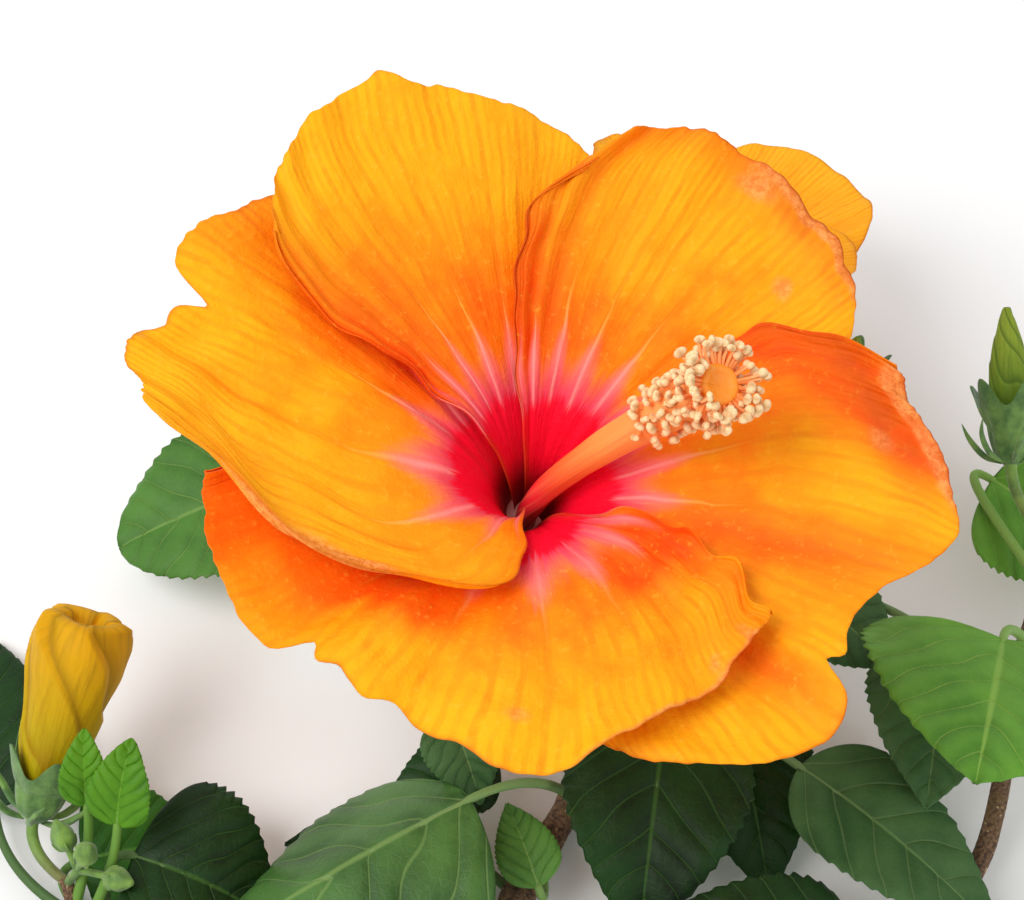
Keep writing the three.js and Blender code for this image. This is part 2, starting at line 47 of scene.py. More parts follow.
MM = 0.001
MIDDLE = np.array([2.45, -10.4, 0.0])
SHOOTS = {
    "main_stem": (
        [(-24, -116, 3.7), (-16, -98, 3.6), (-7, -78, 3.6), (4, -56, 5), (14, -38, 6.5),
         (22, -18, 6.5), (29, 8, 4.5), (34, 38, 2.4)],
        (3.7, 2.1),
    ),
    "right_shoot": (
        [(-16, -98, 3.6), (12, -91, 2.9), (46, -81, 2.7), (76, -71, 3.4), (90, -57, 8),
         (96, -40, 14), (99, -25, 20), (104, -8, 25), (108, 10, 27)],
        (2.9, 1.5),
    ),
    "left_shoot": (
        [(-19, -104, 3.6), (-31, -91, 2.5), (-52, -82, 2.3), (-72, -75, 4), (-82, -68, 7),
         (-86, -60, 11)],
        (2.5, 1.3),
    ),
}
JOINTS = {
    "main_stem": [0.36, 0.42, 0.5, 0.56, 0.62, 0.68, 0.74, 0.8, 0.86, 0.9, 0.96],
    "right_shoot": [0.3, 0.55, 0.86, 0.93, 0.985],
    "left_shoot": [0.4, 0.65, 0.7, 0.8, 0.88, 0.93],
}
JOINT_SWELL = 0.16
JOINT_LENGTH = 2.2
BARK_REPEAT = 60
STEADY = (0.31, 0.17, 0.94)  # no shoot, stalk or bud runs this way


def smooth_path(points, count):
    """A centripetal Catmull-Rom curve. Between two points it is a cubic whose end slopes weigh
    the neighbours by the square root of their distance; it is dealt out in equal lengths."""
    p = np.asarray(points, float)
    p = np.vstack([2 * p[0] - p[1], p, 2 * p[-1] - p[-2]])
    gap = np.sqrt(np.linalg.norm(np.diff(p, axis=0), axis=1))[:, None, None]
    a, b, c, d = p[:-3, None], p[1:-2, None], p[2:-1, None], p[3:, None]
    before, here, after = gap[:-2], gap[1:-1], gap[2:]
    leave = here * ((b - a) / before - (c - a) / (before + here) + (c - b) / here)
    arrive = here * ((c - b) / here - (d - b) / (here + after) + (d - c) / after)
    s = np.linspace(0, 1, 40, endpoint=False)[None, :, None]
    rise = s * s * (3 - 2 * s)
    curve = b + (c - b) * rise + leave * s * (1 - s) ** 2 - arrive * s * s * (1 - s)
    curve = np.vstack([curve.reshape(-1, 3), p[-2]])
    length = np.concatenate([[0], np.cumsum(np.linalg.norm(np.diff(curve, axis=0), axis=1))])
    wanted = np.linspace(0, length[-1], count)
    return np.stack([np.interp(wanted, length, curve[:, k]) for k in range(3)], -1)


def on_shoot(name, at):
    """The point at the share `at` of a shoot's length."""
    path = smooth_path(SHOOTS[name][0], 400)
    return np.array([np.interp(at, np.linspace(0, 1, 400), path[:, k]) for k in range(3)])


def wander(x, y, seed, waves=7):
    """A smooth random relief about 0: the sum of sine waves of x and y over the square root of
    their count. Their turns in y are whole numbers, so that it closes round a tube where y runs
    from 0 to 1."""
    rng = np.random.RandomState(seed)
    total = 0
    for _ in range(waves):
        turns = rng.randint(-3, 4)
        total = total + np.sin(2 * np.pi * (rng.uniform(-1, 1) * x + turns * y + rng.uniform()))
    return total / np.sqrt(waves)


def grid_faces(rows, columns, wrap=False):
    """Quads between neighbours of a grid of points, row by row. wrap joins the last column to
    the first."""
    i = np.arange(rows - 1)[:, None]
    j = np.arange(columns if wrap else columns - 1)[None, :]
    k = (j + 1) % columns
    corners = [i * columns + j, (i + 1) * columns + j, (i + 1) * columns + k, i * columns + k]
    return np.stack(corners, -1).reshape(-1, 4)


def ring_faces(rings, sides):
    """Quads between rings of points, and a fan from each end ring to its middle. The two middles
    are the points after the rings."""
    around = np.arange(sides)
    after = (around + 1) % sides
    last = (rings - 1) * sides
    middle = np.full(sides, rings * sides)
    return [
        grid_faces(rings, sides, wrap=True)[:, ::-1],
        np.stack([middle, after, around], -1),
        np.stack([middle + 1, last + around, last + after], -1),
    ]


def tube(path, radius, sides, along=None):
    """A round profile carried along a path. Each ring stands square to the path, or to along
    where that is given, its points at radius from it (one number a ring, or one a point), and a
    fan closes each end."""
    path = np.asarray(path, float)
    along = np.gradient(path, axis=0) if along is None else np.array(along, float)
    along /= np.linalg.norm(along, axis=1, keepdims=True)
    first = np.cross(along, STEADY)
    first /= np.linalg.norm(first, axis=1, keepdims=True)
    second = np.cross(along, first)
    turn = np.linspace(0, 2 * np.pi, sides, endpoint=False)[None, :, None]
    stand = np.cos(turn) * first[:, None] + np.sin(turn) * second[:, None]
    rings = path[:, None] + np.asarray(radius, float).reshape(len(path), -1, 1) * stand
    points = np.vstack([rings.reshape(-1, 3), path[:1], path[-1:]])
    return points, ring_faces(len(path), sides)


def joined(parts):
    """Several (points, faces) as one."""
    starts = np.cumsum([0] + [len(points) for points, _ in parts[:-1]])
    faces = [f + start for (_, part), start in zip(parts, starts) for f in part]
    return np.vstack([points for points, _ in parts]), faces


def make_piece(name, shape, material, slot, stands_for=(), uv=None, **values):
    """A smooth mesh at the origin from (points in millimetres, faces). uv gives two numbers a
    point and each of values one number a point, for its material to read."""
    points, faces = shape
    mesh = bpy.data.meshes.new(name)
    mesh.from_pydata(((points - MIDDLE) * MM).tolist(), [], sum((f.tolist() for f in faces), []))
    mesh.polygons.foreach_set("use_smooth", np.ones(len(mesh.polygons), bool))
    if uv is not None:
        corner = np.empty(len(mesh.loops), np.int32)
        mesh.loops.foreach_get("vertex_index", corner)
        mesh.uv_layers.new(name="UVMap").data.foreach_set("uv", uv[corner].ravel())
    for key, numbers in values.items():
        layer = mesh.attributes.new(key, "FLOAT", "POINT")
        layer.data.foreach_set("value", np.asarray(numbers, np.float32).ravel())
    mesh.materials.append(material)
    piece = bpy.data.objects.new("look_" + name, mesh)
    bpy.context.scene.collection.objects.link(piece)
    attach(piece, "root")
    if stands_for:
        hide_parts(*stands_for)


def colour(red, green, blue):
    """A shader colour from display values of 0 to 255: each is brought to linear light."""
    share = np.array([red, green, blue]) / 255
    linear = np.where(share <= 0.04045, share / 12.92, ((share + 0.055) / 1.055) ** 2.4)
    return (*linear.tolist(), 1.0)


def start_material(name, roughness):
    """A new material: its node tree and its one shader."""
    material = bpy.data.materials.new(name)
    material.use_nodes = True
    shader = material.node_tree.nodes["Principled BSDF"]
    shader.inputs["Roughness"].default_value = roughness
    return material, material.node_tree, shader


def node(tree, kind, *inputs, out=0, **settings):
    """One shader node. settings are its properties; inputs fill its sockets in order, each a
    value or another node's output, and None leaves one as it is."""
    made = tree.nodes.new("ShaderNode" + kind)
    for key, value in settings.items():
        setattr(made, key, value)
    for socket, value in zip(made.inputs, inputs):
        if isinstance(value, bpy.types.NodeSocket):
            tree.links.new(value, socket)
        elif value is not None:
            socket.default_value = value
    return made.outputs[out]


def fade(tree, value, low, high, at_low=0.0, at_high=1.0):
    """A smooth step of value from at_low at low to at_high at high."""
    return node(tree, "MapRange", value, low, high, at_low, at_high, interpolation_type="SMOOTHSTEP")


def painted(tree, name):
    """The numbers that a piece carries under that name, one at each point."""
    return node(tree, "Attribute", attribute_name=name, out=2)


def split(tree, vector):
    """The x and the y of a vector."""
    parts = tree.nodes.new("ShaderNodeSeparateXYZ")
    tree.links.new(vector, parts.inputs[0])
    return parts.outputs[0], parts.outputs[1]


def noise(tree, where, scale, detail=3.0, roughness=0.55):
    """The grey value of a noise texture at where."""
    made = tree.nodes.new("ShaderNodeTexNoise")
    tree.links.new(where, made.inputs["Vector"])
    made.inputs["Scale"].default_value = scale
    made.inputs["Detail"].default_value = detail
    made.inputs["Roughness"].default_value = roughness
    return made.outputs["Fac"]


def grain(tree, uv, across, along, detail):
    """Noise drawn out over a piece's own map, finer across it than along it."""
    stretched = node(tree, "VectorMath", uv, (across, along, 1), operation="MULTIPLY")
    return noise(tree, stretched, 1.0, detail)


def mix(tree, share, one, other):
    """The colour that goes from one to other as share goes from 0 to 1."""
    return node(tree, "MixRGB", share, one, other)


def coat(tree, shader, tone, height, distance, strength):
    """Gives the shader its colour, and surface relief that rises by distance, in metres, as
    height goes from 0 to 1."""
    tree.links.new(tone, shader.inputs["Base Color"])
    bump = tree.nodes.new("ShaderNodeBump")
    bump.inputs["Distance"].default_value = distance
    bump.inputs["Strength"].default_value = strength
    tree.links.new(height, bump.inputs["Height"])
    tree.links.new(bump.outputs["Normal"], shader.inputs["Normal"])


def bark_material():
    """Grey-brown bark streaked along the shoot, with paler pores, and pale wood where cut."""
    material, tree, shader = start_material("bark", 0.8)
    where = node(tree, "TexCoord", out=3)
    streak = grain(tree, node(tree, "UVMap", uv_map="UVMap"), 15.0, 72.0, 5.0)
    blotch = noise(tree, where, 160.0, 4.0)
    pore = fade(tree, noise(tree, where, 900.0, 1.0), 0.66, 0.72)
    tone = mix(tree, fade(tree, streak, 0.35, 0.65), colour(66, 45, 32), colour(128, 96, 68))
    tone = mix(tree, fade(tree, blotch, 0.5, 0.75, 0.0, 0.6), tone, colour(120, 100, 52))
    tone = mix(tree, pore, tone, colour(176, 150, 112))
    wood = mix(tree, blotch, colour(214, 198, 150), colour(168, 170, 110))
    tone = mix(tree, painted(tree, "cut"), tone, wood)
    coat(tree, shader, tone, streak, 0.0006, 0.7)
    return material


bark = bark_material()
for name, (points, (foot_radius, tip_radius)) in SHOOTS.items():
    rings, sides = 260, 40
    path = smooth_path(points, rings)
    share = np.linspace(0, 1, rings)[:, None]
    turn = np.linspace(0, 1, sides, endpoint=False)[None, :]
    length = np.linalg.norm(np.diff(path, axis=0), axis=1).sum()
    radius = foot_radius + (tip_radius - foot_radius) * share + 0 * turn
    for place in JOINTS[name]:
        radius *= 1 + JOINT_SWELL * np.exp(-(((share - place) * length / JOINT_LENGTH) ** 2))
    bumps = 0.03 * wander(share * length / 9, turn, 3) + 0.012 * wander(share * length, turn, 5)
    radius *= 0.97 + bumps
    face_radius = np.array([0.08, 0.3, 0.9, 1.0])
    face_place = np.array([0, 0.01, 0.02, 0.4])
    path = np.vstack([path[0] + (path[1] - path[0]) * face_place[:, None], path[1:]])
    radius = np.vstack([face_radius[:, None] * radius[:1], radius[1:]])
    cut = np.concatenate([np.repeat([1, 1, 1, 0], sides), np.zeros((rings - 1) * sides), [1, 0]])
    down = np.concatenate([[0, 0, 0, 0], share[1:, 0]])[:, None] + 0 * turn
    uv = np.stack([np.repeat(turn, len(path), 0), down * length / BARK_REPEAT], -1).reshape(-1, 2)
    uv = np.vstack([uv, [[0, 0], [0, 0]]])
    make_piece(name, tube(path, radius, sides), bark, "wood", [name], uv=uv, cut=cut)

# ---------------------------------------------------------------- green stalks
# Each bloom and bud stands on a slender green stalk, the pedicel, a little downy and flushed
# brown towards the wood that it grows from. It bends up into the foot of its calyx.

# Each flower and bud: the point that its petals rise from, the way that it looks, the length and
# radius of its calyx, the shoot and the share of it where the stalk stands, and the stalk's radius.
FLOWERS = {
    "main": ((2.4, -10.9, 63.2), (0.082, -0.076, 0.994), 24, 7.0, "main_stem", 0.66, 1.7),
    "back": ((36, 53, 30), (0.16, 0.42, 0.89), 15, 6.4, "main_stem", 0.985, 1.7),
    "rolled_bud": ((-91, -44, 17), (9.5, 23, 22), 7, 5.2, "left_shoot", 0.99, 1.2),
    "right_bud": ((101, 27, 36), (0, 23, 11), 8, 4.6, "right_shoot", 0.985, 1.2),
    "side_bud": ((63, 21, 60), (5, 9, 12), 6, 3.6, "main_stem", 0.95, 1.2),
}


def arc(start, bend, end, count):
    """A quadratic curve: it leaves start towards bend and reaches end from it."""
    s = np.linspace(0, 1, count)[:, None]
    return (1 - s) ** 2 * start + 2 * s * (1 - s) * bend + s * s * end


def unit(v):
    """v brought to length 1."""
    return np.asarray(v, float) / np.linalg.norm(v)


def stalk_material():
    """Fresh green skin, mottled, with fine down that catches the light."""
    material, tree, shader = start_material("green_stalk", 0.55)
    shader.inputs["Sheen Weight"].default_value = 0.25
    where = node(tree, "TexCoord", out=3)
    blotch = noise(tree, where, 220.0, 3.0)
    tone = mix(tree, fade(tree, blotch, 0.3, 0.7), colour(74, 112, 40), colour(122, 160, 62))
    tone = mix(tree, painted(tree, "low"), tone, colour(112, 96, 50))
    coat(tree, shader, tone, noise(tree, where, 1400.0, 2.0), 0.0003, 0.5)
    return material


stalk_green = stalk_material()
for name, (throat, axis, calyx_length, _, shoot, at, thickness) in FLOWERS.items():
    rings, sides = 60, 16
    axis = unit(axis)
    top = np.array(throat, float) - axis * (calyx_length - 0.5)
    start = on_shoot(shoot, at)
    path = arc(start, top - axis * 0.5 * np.linalg.norm(top - start), top, rings)
    share = np.linspace(0, 1, rings)
    radius = thickness * (0.85 + 0.15 * share + 0.25 * np.exp(-((share - 1) / 0.05) ** 2))
    low = np.append(np.repeat(0.8 * (1 - share) ** 2, sides), [0.8, 0])
    name += "_stalk" if "bud" in name else "_pedicel"
    make_piece(name, tube(path, radius, sides), stalk_green, "green", [name], low=low)

# ---------------------------------------------------------------- leaves
# Toothed, pointed leaves, each on its own stalk that runs on under the blade as the midrib.
# Side veins branch off forwards and the skin between them swells a little. The old leaves are
# dark and glossy on top, the young ones bright and soft. The dark skin is partly painted shade,
# deepened for the leaves that lie in the bloom's shadow, and the bright skin partly painted light,
# lightened for the leaves at the right that the lamps leave in shade.

TEETH = 16
TOOTH_DEPTH = 0.055
TOOTH_RISE = 0.8
SIDE_VEINS = 6.0
LEAF_THICKNESS = 0.5
# Each leaf: the shoot and the share of it where its stalk stands, the blade's foot, its tip, its
# width and its skin, and how it departs from the others, in millimetres and degrees.
LEAVES = {
    "left_outer": ("main_stem", 0.8, (-44, 25, 21), (-82, 13, 11), 40, "fresh", {"blunt": 0.5}),
    "front_left": ("main_stem", 0.5, (-8, -51, 28), (-60, -81, 20), 50, "glossy",
                   {"roll": -20, "fold": -20}),
    "under_left": ("main_stem", 0.62, (-12, -32, 26), (-6, -47, 16), 17, "dull", {}),
    "behind_left": ("main_stem", 0.56, (-3, -36, 12), (-25, -45, 9), 20, "dark", {}),
    "inner_front": ("main_stem", 0.42, (5, -63, 14), (-1, -46, 14), 13, "fresh", {}),
    "centre": ("main_stem", 0.68, (30, -30, 21), (24, -72, 8), 38, "dark", {"arch": 5}),
    "centre_right": ("main_stem", 0.74, (44, -27, 12), (50, -61, 4), 28, "dark", {"arch": 4}),
    "low_right": ("main_stem", 0.8, (56, -40, 18), (93, -72, 10), 27, "dull", {"arch": 4}),
    "behind_right": ("main_stem", 0.86, (85, -18, 25), (79, -50, 21), 30, "dull",
                     {"via": (76, -4, 26)}),
    "right_under": ("main_stem", 0.9, (55, -4, 26), (76, -20, 20), 24, "dull", {}),
    "middle_low": ("main_stem", 0.36, (-14, -52, 5), (-45, -49, 1), 18, "dark", {"arch": 3}),
    "under_bloom": ("main_stem", 0.7, (-4, 4, 20), (-46, -6, 16), 34, "dark", {"arch": 4}),
    "back_left": ("main_stem", 0.9, (6, 36, 12), (-34, 60, 1), 38, "fresh", {"arch": 4}),
    "back_right": ("main_stem", 0.9, (54, 46, 8), (72, 80, 1), 32, "fresh", {"arch": 3}),
    "back_tip": ("main_stem", 0.96, (22, 58, 5), (12, 92, 1), 32, "dark",
                 {"arch": 3, "via": (24, 44, 4)}),
    "front_right": ("right_shoot", 0.3, (64, -84, 12), (22, -73, 15), 38, "dark", {"arch": 5}),
    "right_front": ("right_shoot", 0.86, (94, -22, 37), (83, -57, 49), 54, "bright",
                    {"blunt": 0.7}),
    "right_outer": ("right_shoot", 0.93, (100, 24, 20), (122, 8, 8), 38, "bright",
                    {"arch": 3, "blunt": 0.65}),
    "left_low": ("left_shoot", 0.8, (-72, -58, 17), (-46, -67, 6), 38, "dark",
                 {"arch": 4, "blunt": 0.65}),
    "left_under": ("left_shoot", 0.65, (-84, -54, 5), (-63, -49, 1.5), 32, "lush",
                   {"arch": 1.5, "blunt": 0.5}),
    "left_corner": ("left_shoot", 0.7, (-90, -74, 9), (-106, -98, 2), 32, "dark", {"arch": 3}),
    "left_back": ("left_shoot", 0.9, (-102, -44, 7), (-108, -4, 2), 28, "dark", {"arch": 3}),
    "young_right": ("left_shoot", 0.88, (-74, -56, 27), (-71, -43, 37), 13, "young", {"blunt": 0.65}),
    "young_left": ("left_shoot", 0.93, (-80, -52, 27), (-80, -41, 37), 10, "young", {"blunt": 0.65}),
}


def step(x):
    """A smooth step from 0 to 1."""
    x = np.clip(x, 0, 1)
    return x * x * (3 - 2 * x)


def sheet(middle, thickness):
    """A closed skin of that thickness on both sides of a grid of points. Each point moves half
    of it along the surface's normal, and a strip joins the two sides round the border."""
    along = np.gradient(middle, axis=0)
    across = np.gradient(middle, axis=1)
    normal = np.cross(along, across)
    normal /= np.maximum(np.linalg.norm(normal, axis=-1, keepdims=True), 1e-9)
    rows, columns = middle.shape[:2]
    half = normal * np.broadcast_to(thickness, (rows, columns))[..., None] / 2
    points = np.vstack([(middle + half).reshape(-1, 3), (middle - half).reshape(-1, 3)])
    index = np.arange(rows * columns).reshape(rows, columns)
    border = np.concatenate([index[:, 0], index[-1, 1:], index[-2::-1, -1], index[0, -2:0:-1]])
    after = np.roll(border, -1)
    top = grid_faces(rows, columns)
    size = rows * columns
    strip = np.stack([after, border, border + size, after + size], -1)
    return points, [top, top[:, ::-1] + size, strip]


def leaf_shape(leaf, seed):
    """A leaf: its blade with its stalk, their map, and the values that the skin reads. At the
    share u from foot to tip the blade is width * sin(pi u^0.6)^blunt wide, less a saw-tooth
    share; it arches as 4 arch u (1 - u), its halves rise by fold, and it sinks along each vein.
    The veins slant and curve towards the tip, by unequal steps."""
    shoot, at, foot, tip, width, _, extras = leaf
    foot, tip = np.array(foot, float), np.array(tip, float)
    length = np.linalg.norm(tip - foot)
    along = (tip - foot) / length
    up = unit(np.array([0, 0, 1.0]) - along[2] * along)
    roll = np.radians(-extras.get("roll", 0))
    normal = up * np.cos(roll) + np.cross(along, up) * np.sin(roll)
    across = np.cross(along, normal)
    fold = np.radians(extras.get("fold", 10))
    arch = extras.get("arch", 2)
    rows, columns = TEETH * 8 + 1, 41
    u = np.linspace(0, 1, rows)[:, None]
    s = np.linspace(-1, 1, columns)[None, :]
    broad = np.maximum(np.sin(np.pi * u ** 0.6), 0) ** extras.get("blunt", 0.85)
    saw = (u * TEETH + 0.3 * np.sign(s)) % 1
    saw = np.where(saw < TOOTH_RISE, 1 - saw / TOOTH_RISE, (saw - TOOTH_RISE) / (1 - TOOTH_RISE))
    tooth = 1 - TOOTH_DEPTH * step((u - 0.12) / 0.25) * saw * np.abs(s) ** 6
    half = np.maximum(width / 2 * broad * tooth, 0.35)
    vein = (u - 0.75 * half * np.abs(s) / length - 0.07 * s * s) * SIDE_VEINS
    vein = vein + 0.12 * wander(u * 4 + 0 * s, np.sign(s) * 0.4, seed + 60)
    groove = np.exp(-((vein - np.round(vein)) / 0.09) ** 2) * step((u - 0.02) / 0.1)
    swell = np.sin(np.pi * vein) ** 2 * np.abs(s) * (1 - np.abs(s) ** 3)
    wave = 0.05 * half * np.abs(s) ** 2 * wander(u * 2.5, s * 0.4, seed)
    lift = 4 * arch * u * (1 - u) + half * np.abs(s) * np.sin(fold) - 0.1 * half * s * s
    lift = lift + wave + 0.35 * swell - 0.22 * groove - 0.3 * np.exp(-(s * half / 1.1) ** 2)
    middle = (
        foot
        + along * length * u[..., None]
        + normal * lift[..., None]
        - across * (half * s * np.cos(fold))[..., None]
    )
    edge = np.minimum(1, 0.4 + 4 * (1 - np.abs(s))) + 0 * u
    blade = sheet(middle, LEAF_THICKNESS * edge)

    start = on_shoot(shoot, at)
    climb = unit(along * length + normal * 4 * arch)
    before = foot - climb * 0.45 * np.linalg.norm(foot - start)
    bend = np.array(extras.get("via", before), float)
    rings, sides = 40, 10
    stalk = arc(start, bend, foot - normal * 0.3, rings)
    run = np.linspace(0, 1, rings)[1:-1, None]
    rib = foot + along * length * run + normal * (4 * arch * run * (1 - run) - 0.78)
    path = np.vstack([stalk, rib])
    radius = np.concatenate([np.linspace(1.1, 0.85, rings), 0.85 - 0.6 * run[:, 0]])
    stem = tube(path, radius, sides)

    top = np.stack([s + 0 * u, u + 0 * s], -1).reshape(-1, 2) * [0.5, 1] + [0.5, 0]
    stem_uv = np.tile([[0.5, -1.0]], (len(stem[0]), 1))
    of_stem = np.full(len(stem[0]), 0.5)
    side = np.ones(vein.size)
    values = {
        "vein": np.concatenate([vein.ravel(), vein.ravel(), of_stem]),
        "under": np.concatenate([0 * side, side, of_stem]),
    }
    return joined([blade, stem]), np.vstack([top, top, stem_uv]), values


def leaf_material(name, dark, light, rib, roughness):
    """Green skin: paler along the midrib and the side veins, a fine net between them, cloudy
    from dark to light, and a matt grey-green underside."""
    material, tree, shader = start_material(name, roughness)
    shader.inputs["Specular IOR Level"].default_value = 0.22
    where = node(tree, "TexCoord", out=3)
    across, _ = split(tree, node(tree, "UVMap", uv_map="UVMap"))
    to_right = node(tree, "Math", across, 0.5, operation="SUBTRACT")
    from_rib = node(tree, "Math", to_right, operation="ABSOLUTE")
    to_vein = node(tree, "Math", painted(tree, "vein"), 0.5, operation="PINGPONG")
    side_vein = fade(tree, to_vein, 0.015, 0.06, 1.0, 0.0)
    midrib = fade(tree, from_rib, 0.004, 0.02, 1.0, 0.0)
    cells = tree.nodes.new("ShaderNodeTexVoronoi")
    cells.feature = "DISTANCE_TO_EDGE"
    cells.inputs["Scale"].default_value = 560.0
    tree.links.new(where, cells.inputs["Vector"])
    net = fade(tree, cells.outputs["Distance"], 0.0, 0.12, 1.0, 0.0)
    cloud = noise(tree, where, 55.0, 4.0)
    tone = mix(tree, fade(tree, cloud, 0.3, 0.7), colour(*dark), colour(*light))
    between = fade(tree, to_vein, 0.1, 0.45)
    layers = ((between, 0.35, light), (net, 0.05, rib), (side_vein, 0.36, rib), (midrib, 0.6, rib))
    for line, share, tint in layers:
        tone = mix(tree, node(tree, "Math", line, share, operation="MULTIPLY"), tone, colour(*tint))
    tone = mix(tree, painted(tree, "under"), tone, mix(tree, 0.5, tone, colour(128, 156, 104)))
    low = node(tree, "Math", net, 0.15, side_vein, operation="MULTIPLY_ADD")
    pores = noise(tree, where, 900.0, 2.0)
    pits = node(tree, "Math", pores, 0.5, operation="MULTIPLY")
    height = node(tree, "Math", pits, low, operation="SUBTRACT")
    coat(tree, shader, tone, height, 0.0003, 0.6)
    return material


# The dark and the light green of each skin, its veins, and its roughness.
LEAF_SKINS = {
    # Partly painted shade: this green is deepened for leaves lying in the bloom's shadow.
    "dark": ((2, 26, 0), (20, 58, 10), (60, 98, 36), 0.5),
    "glossy": ((42, 78, 32), (76, 120, 56), (126, 158, 88), 0.42),
    "dull": ((42, 78, 36), (72, 108, 60), (112, 142, 86), 0.55),
    "lush": ((30, 80, 14), (54, 112, 26), (96, 146, 54), 0.5),
    "fresh": ((50, 96, 32), (80, 128, 50), (122, 158, 80), 0.5),
    # Partly painted light: this green is lightened so that the leaves at the right look lit where the
    # lamps leave them in shade.
    "bright": ((72, 126, 36), (105, 161, 52), (146, 186, 82), 0.5),
    "young": ((52, 108, 10), (84, 138, 20), (112, 156, 44), 0.5),
}
leaf_skins = {look: leaf_material("leaf_" + look, *skin) for look, skin in LEAF_SKINS.items()}
for count, (name, leaf) in enumerate(LEAVES.items()):
    shape, uv, values = leaf_shape(leaf, 20 + count)
    slot = "young_leaf" if leaf[5] == "young" else "leaf"
    make_piece("leaf_" + name, shape, leaf_skins[leaf[5]], slot, ["leaf_" + name], uv=uv, **values)

# ---------------------------------------------------------------- calyces
# The calyx is a downy green cup in five pointed lobes that holds the petals by their feet. Six
# slender bracts curve out from its foot, where it sits on its stalk.

CALYX_POINTS = 5
CALYX_WALL = 0.9
CALYX_FLOOR = -1.0
PINK_ROW = 54  # the row of the profile where the pink inside begins
BRACTS = 6
BRACT_RINGS, BRACT_SIDES = 24, 10


def bloom_axes(axis):
    """Three directions of a bloom: along its axis, and two across it, the first towards +X."""
    up = unit(axis)
    across = unit(np.array([1.0, 0, 0]) - up[0] * up)
    return up, across, np.cross(up, across)


def calyx_shape(throat, axis, length, radius):
    """A cup with its bracts, how near each point is to the lobes' tips, and whether it is inside.
    The cup is a profile turned round the bloom's axis: out from the foot, up to a rim whose
    height goes with the cosine of five times the angle, over it, and down inside to the cup's
    floor. Each bract is a tube along an outward curl, a flat ellipse across."""
    up, across, beyond = bloom_axes(axis)
    sides = 100
    turn = np.linspace(0, 2 * np.pi, sides, endpoint=False)
    peak = np.abs(0.5 + 0.5 * np.cos(CALYX_POINTS * turn)) ** 1.3
    rim = 3.5 + 5.5 * peak
    rib = 1 + 0.025 * np.cos(2 * CALYX_POINTS * turn)
    rows = []
    for part in np.linspace(0, 1, 30):
        grown = through([0.3, 0.62, 0.78, 0.88, 0.95, 1.0], part)
        rows.append((radius * grown * rib, -length * (1 - part) + 0 * turn))
    for part in np.linspace(0.08, 1, 14):
        rows.append((radius * rib + (0.38 * rim + CALYX_WALL * (1 - 0.6 * part)) * part, rim * part))
    for part in np.linspace(1, 0.05, 14):
        rows.append((radius - 0.2 + (0.38 * rim + 0.2) * part, rim * part - 0.15))
    rows.append((radius * 0.8 + 0 * turn, CALYX_FLOOR + 0 * turn))
    rows.append((radius * 0.02 + 0 * turn, CALYX_FLOOR + 0 * turn))
    r, z = (np.array([row[k] for row in rows])[..., None] for k in (0, 1))
    out = np.cos(turn)[:, None] * across + np.sin(turn)[:, None] * beyond
    cup = np.array(throat, float) + r * out + z * up
    points = np.vstack([cup.reshape(-1, 3), cup[0].mean(0), cup[-1].mean(0)])
    parts = [(points, ring_faces(len(rows), sides))]
    for k in range(BRACTS):
        angle = 2 * np.pi * (k + 0.5) / BRACTS
        curl = [(0.4, -0.93, 0), (1.15, -0.75, 0), (1.8, -0.3, 0.1), (2.1, 0.1, 0.25)]
        path = []
        for share, height, swing in curl:
            direction = np.cos(angle + swing) * across + np.sin(angle + swing) * beyond
            path.append(np.array(throat) + radius * share * direction + length * height * up)
        path = smooth_path(path, BRACT_RINGS)
        width = radius * 0.16 * np.sin(np.pi * (0.12 + 0.87 * np.linspace(0, 1, BRACT_RINGS))) ** 0.8
        flat = 0.55 + 0.45 * np.abs(np.cos(np.linspace(0, 2 * np.pi, BRACT_SIDES, endpoint=False)))
        parts.append(tube(path, width[:, None] * flat[None, :], BRACT_SIDES))
    on_bracts = np.zeros(BRACTS * (BRACT_RINGS * BRACT_SIDES + 2))
    tips = np.concatenate([(z[..., 0] / rim.max()).clip(0, 1).ravel(), [0, 0], on_bracts])
    inside = np.repeat(np.arange(len(rows)) >= PINK_ROW, sides)
    return joined(parts), tips, np.concatenate([inside, [0, 1], on_bracts])


def through(stations, x):
    """A smooth curve through equally spaced stations, read at x from 0 to 1: between two of them
    a cubic whose end slopes are half the way from neighbour to neighbour."""
    p = np.asarray(stations, float)
    p = np.concatenate([[2 * p[0] - p[1]], p, [2 * p[-1] - p[-2]]])
    place = np.clip(x, 0, 1) * (len(p) - 3)
    i = np.minimum(place.astype(int) if hasattr(place, "astype") else int(place), len(p) - 4)
    f = place - i
    a, b, c, d = p[i], p[i + 1], p[i + 2], p[i + 3]
    return b + 0.5 * f * (c - a + f * (2 * a - 5 * b + 4 * c - d + f * (3 * (b - c) + d - a)))


def calyx_material():
    """Downy green, darker at the lobes' tips, and flushed pale pink inside."""
    material, tree, shader = start_material("calyx_green", 0.6)
    shader.inputs["Sheen Weight"].default_value = 0.3
    where = node(tree, "TexCoord", out=3)
    blotch = noise(tree, where, 260.0, 4.0)
    tone = mix(tree, fade(tree, blotch, 0.3, 0.7), colour(60, 102, 40), colour(116, 156, 70))
    tips = node(tree, "Math", painted(tree, "tips"), 0.5, operation="MULTIPLY")
    tone = mix(tree, tips, tone, colour(40, 84, 34))
    tone = mix(tree, painted(tree, "inside"), tone, colour(250, 176, 168))
    coat(tree, shader, tone, noise(tree, where, 1500.0, 2.0), 0.0003, 0.6)
    return material


calyx_green = calyx_material()
for name, flower in FLOWERS.items():
    shape, tips, inside = calyx_shape(*flower[:4])
    name += "_calyx"
    make_piece(name, shape, calyx_green, "green", [name], tips=tips, inside=inside)

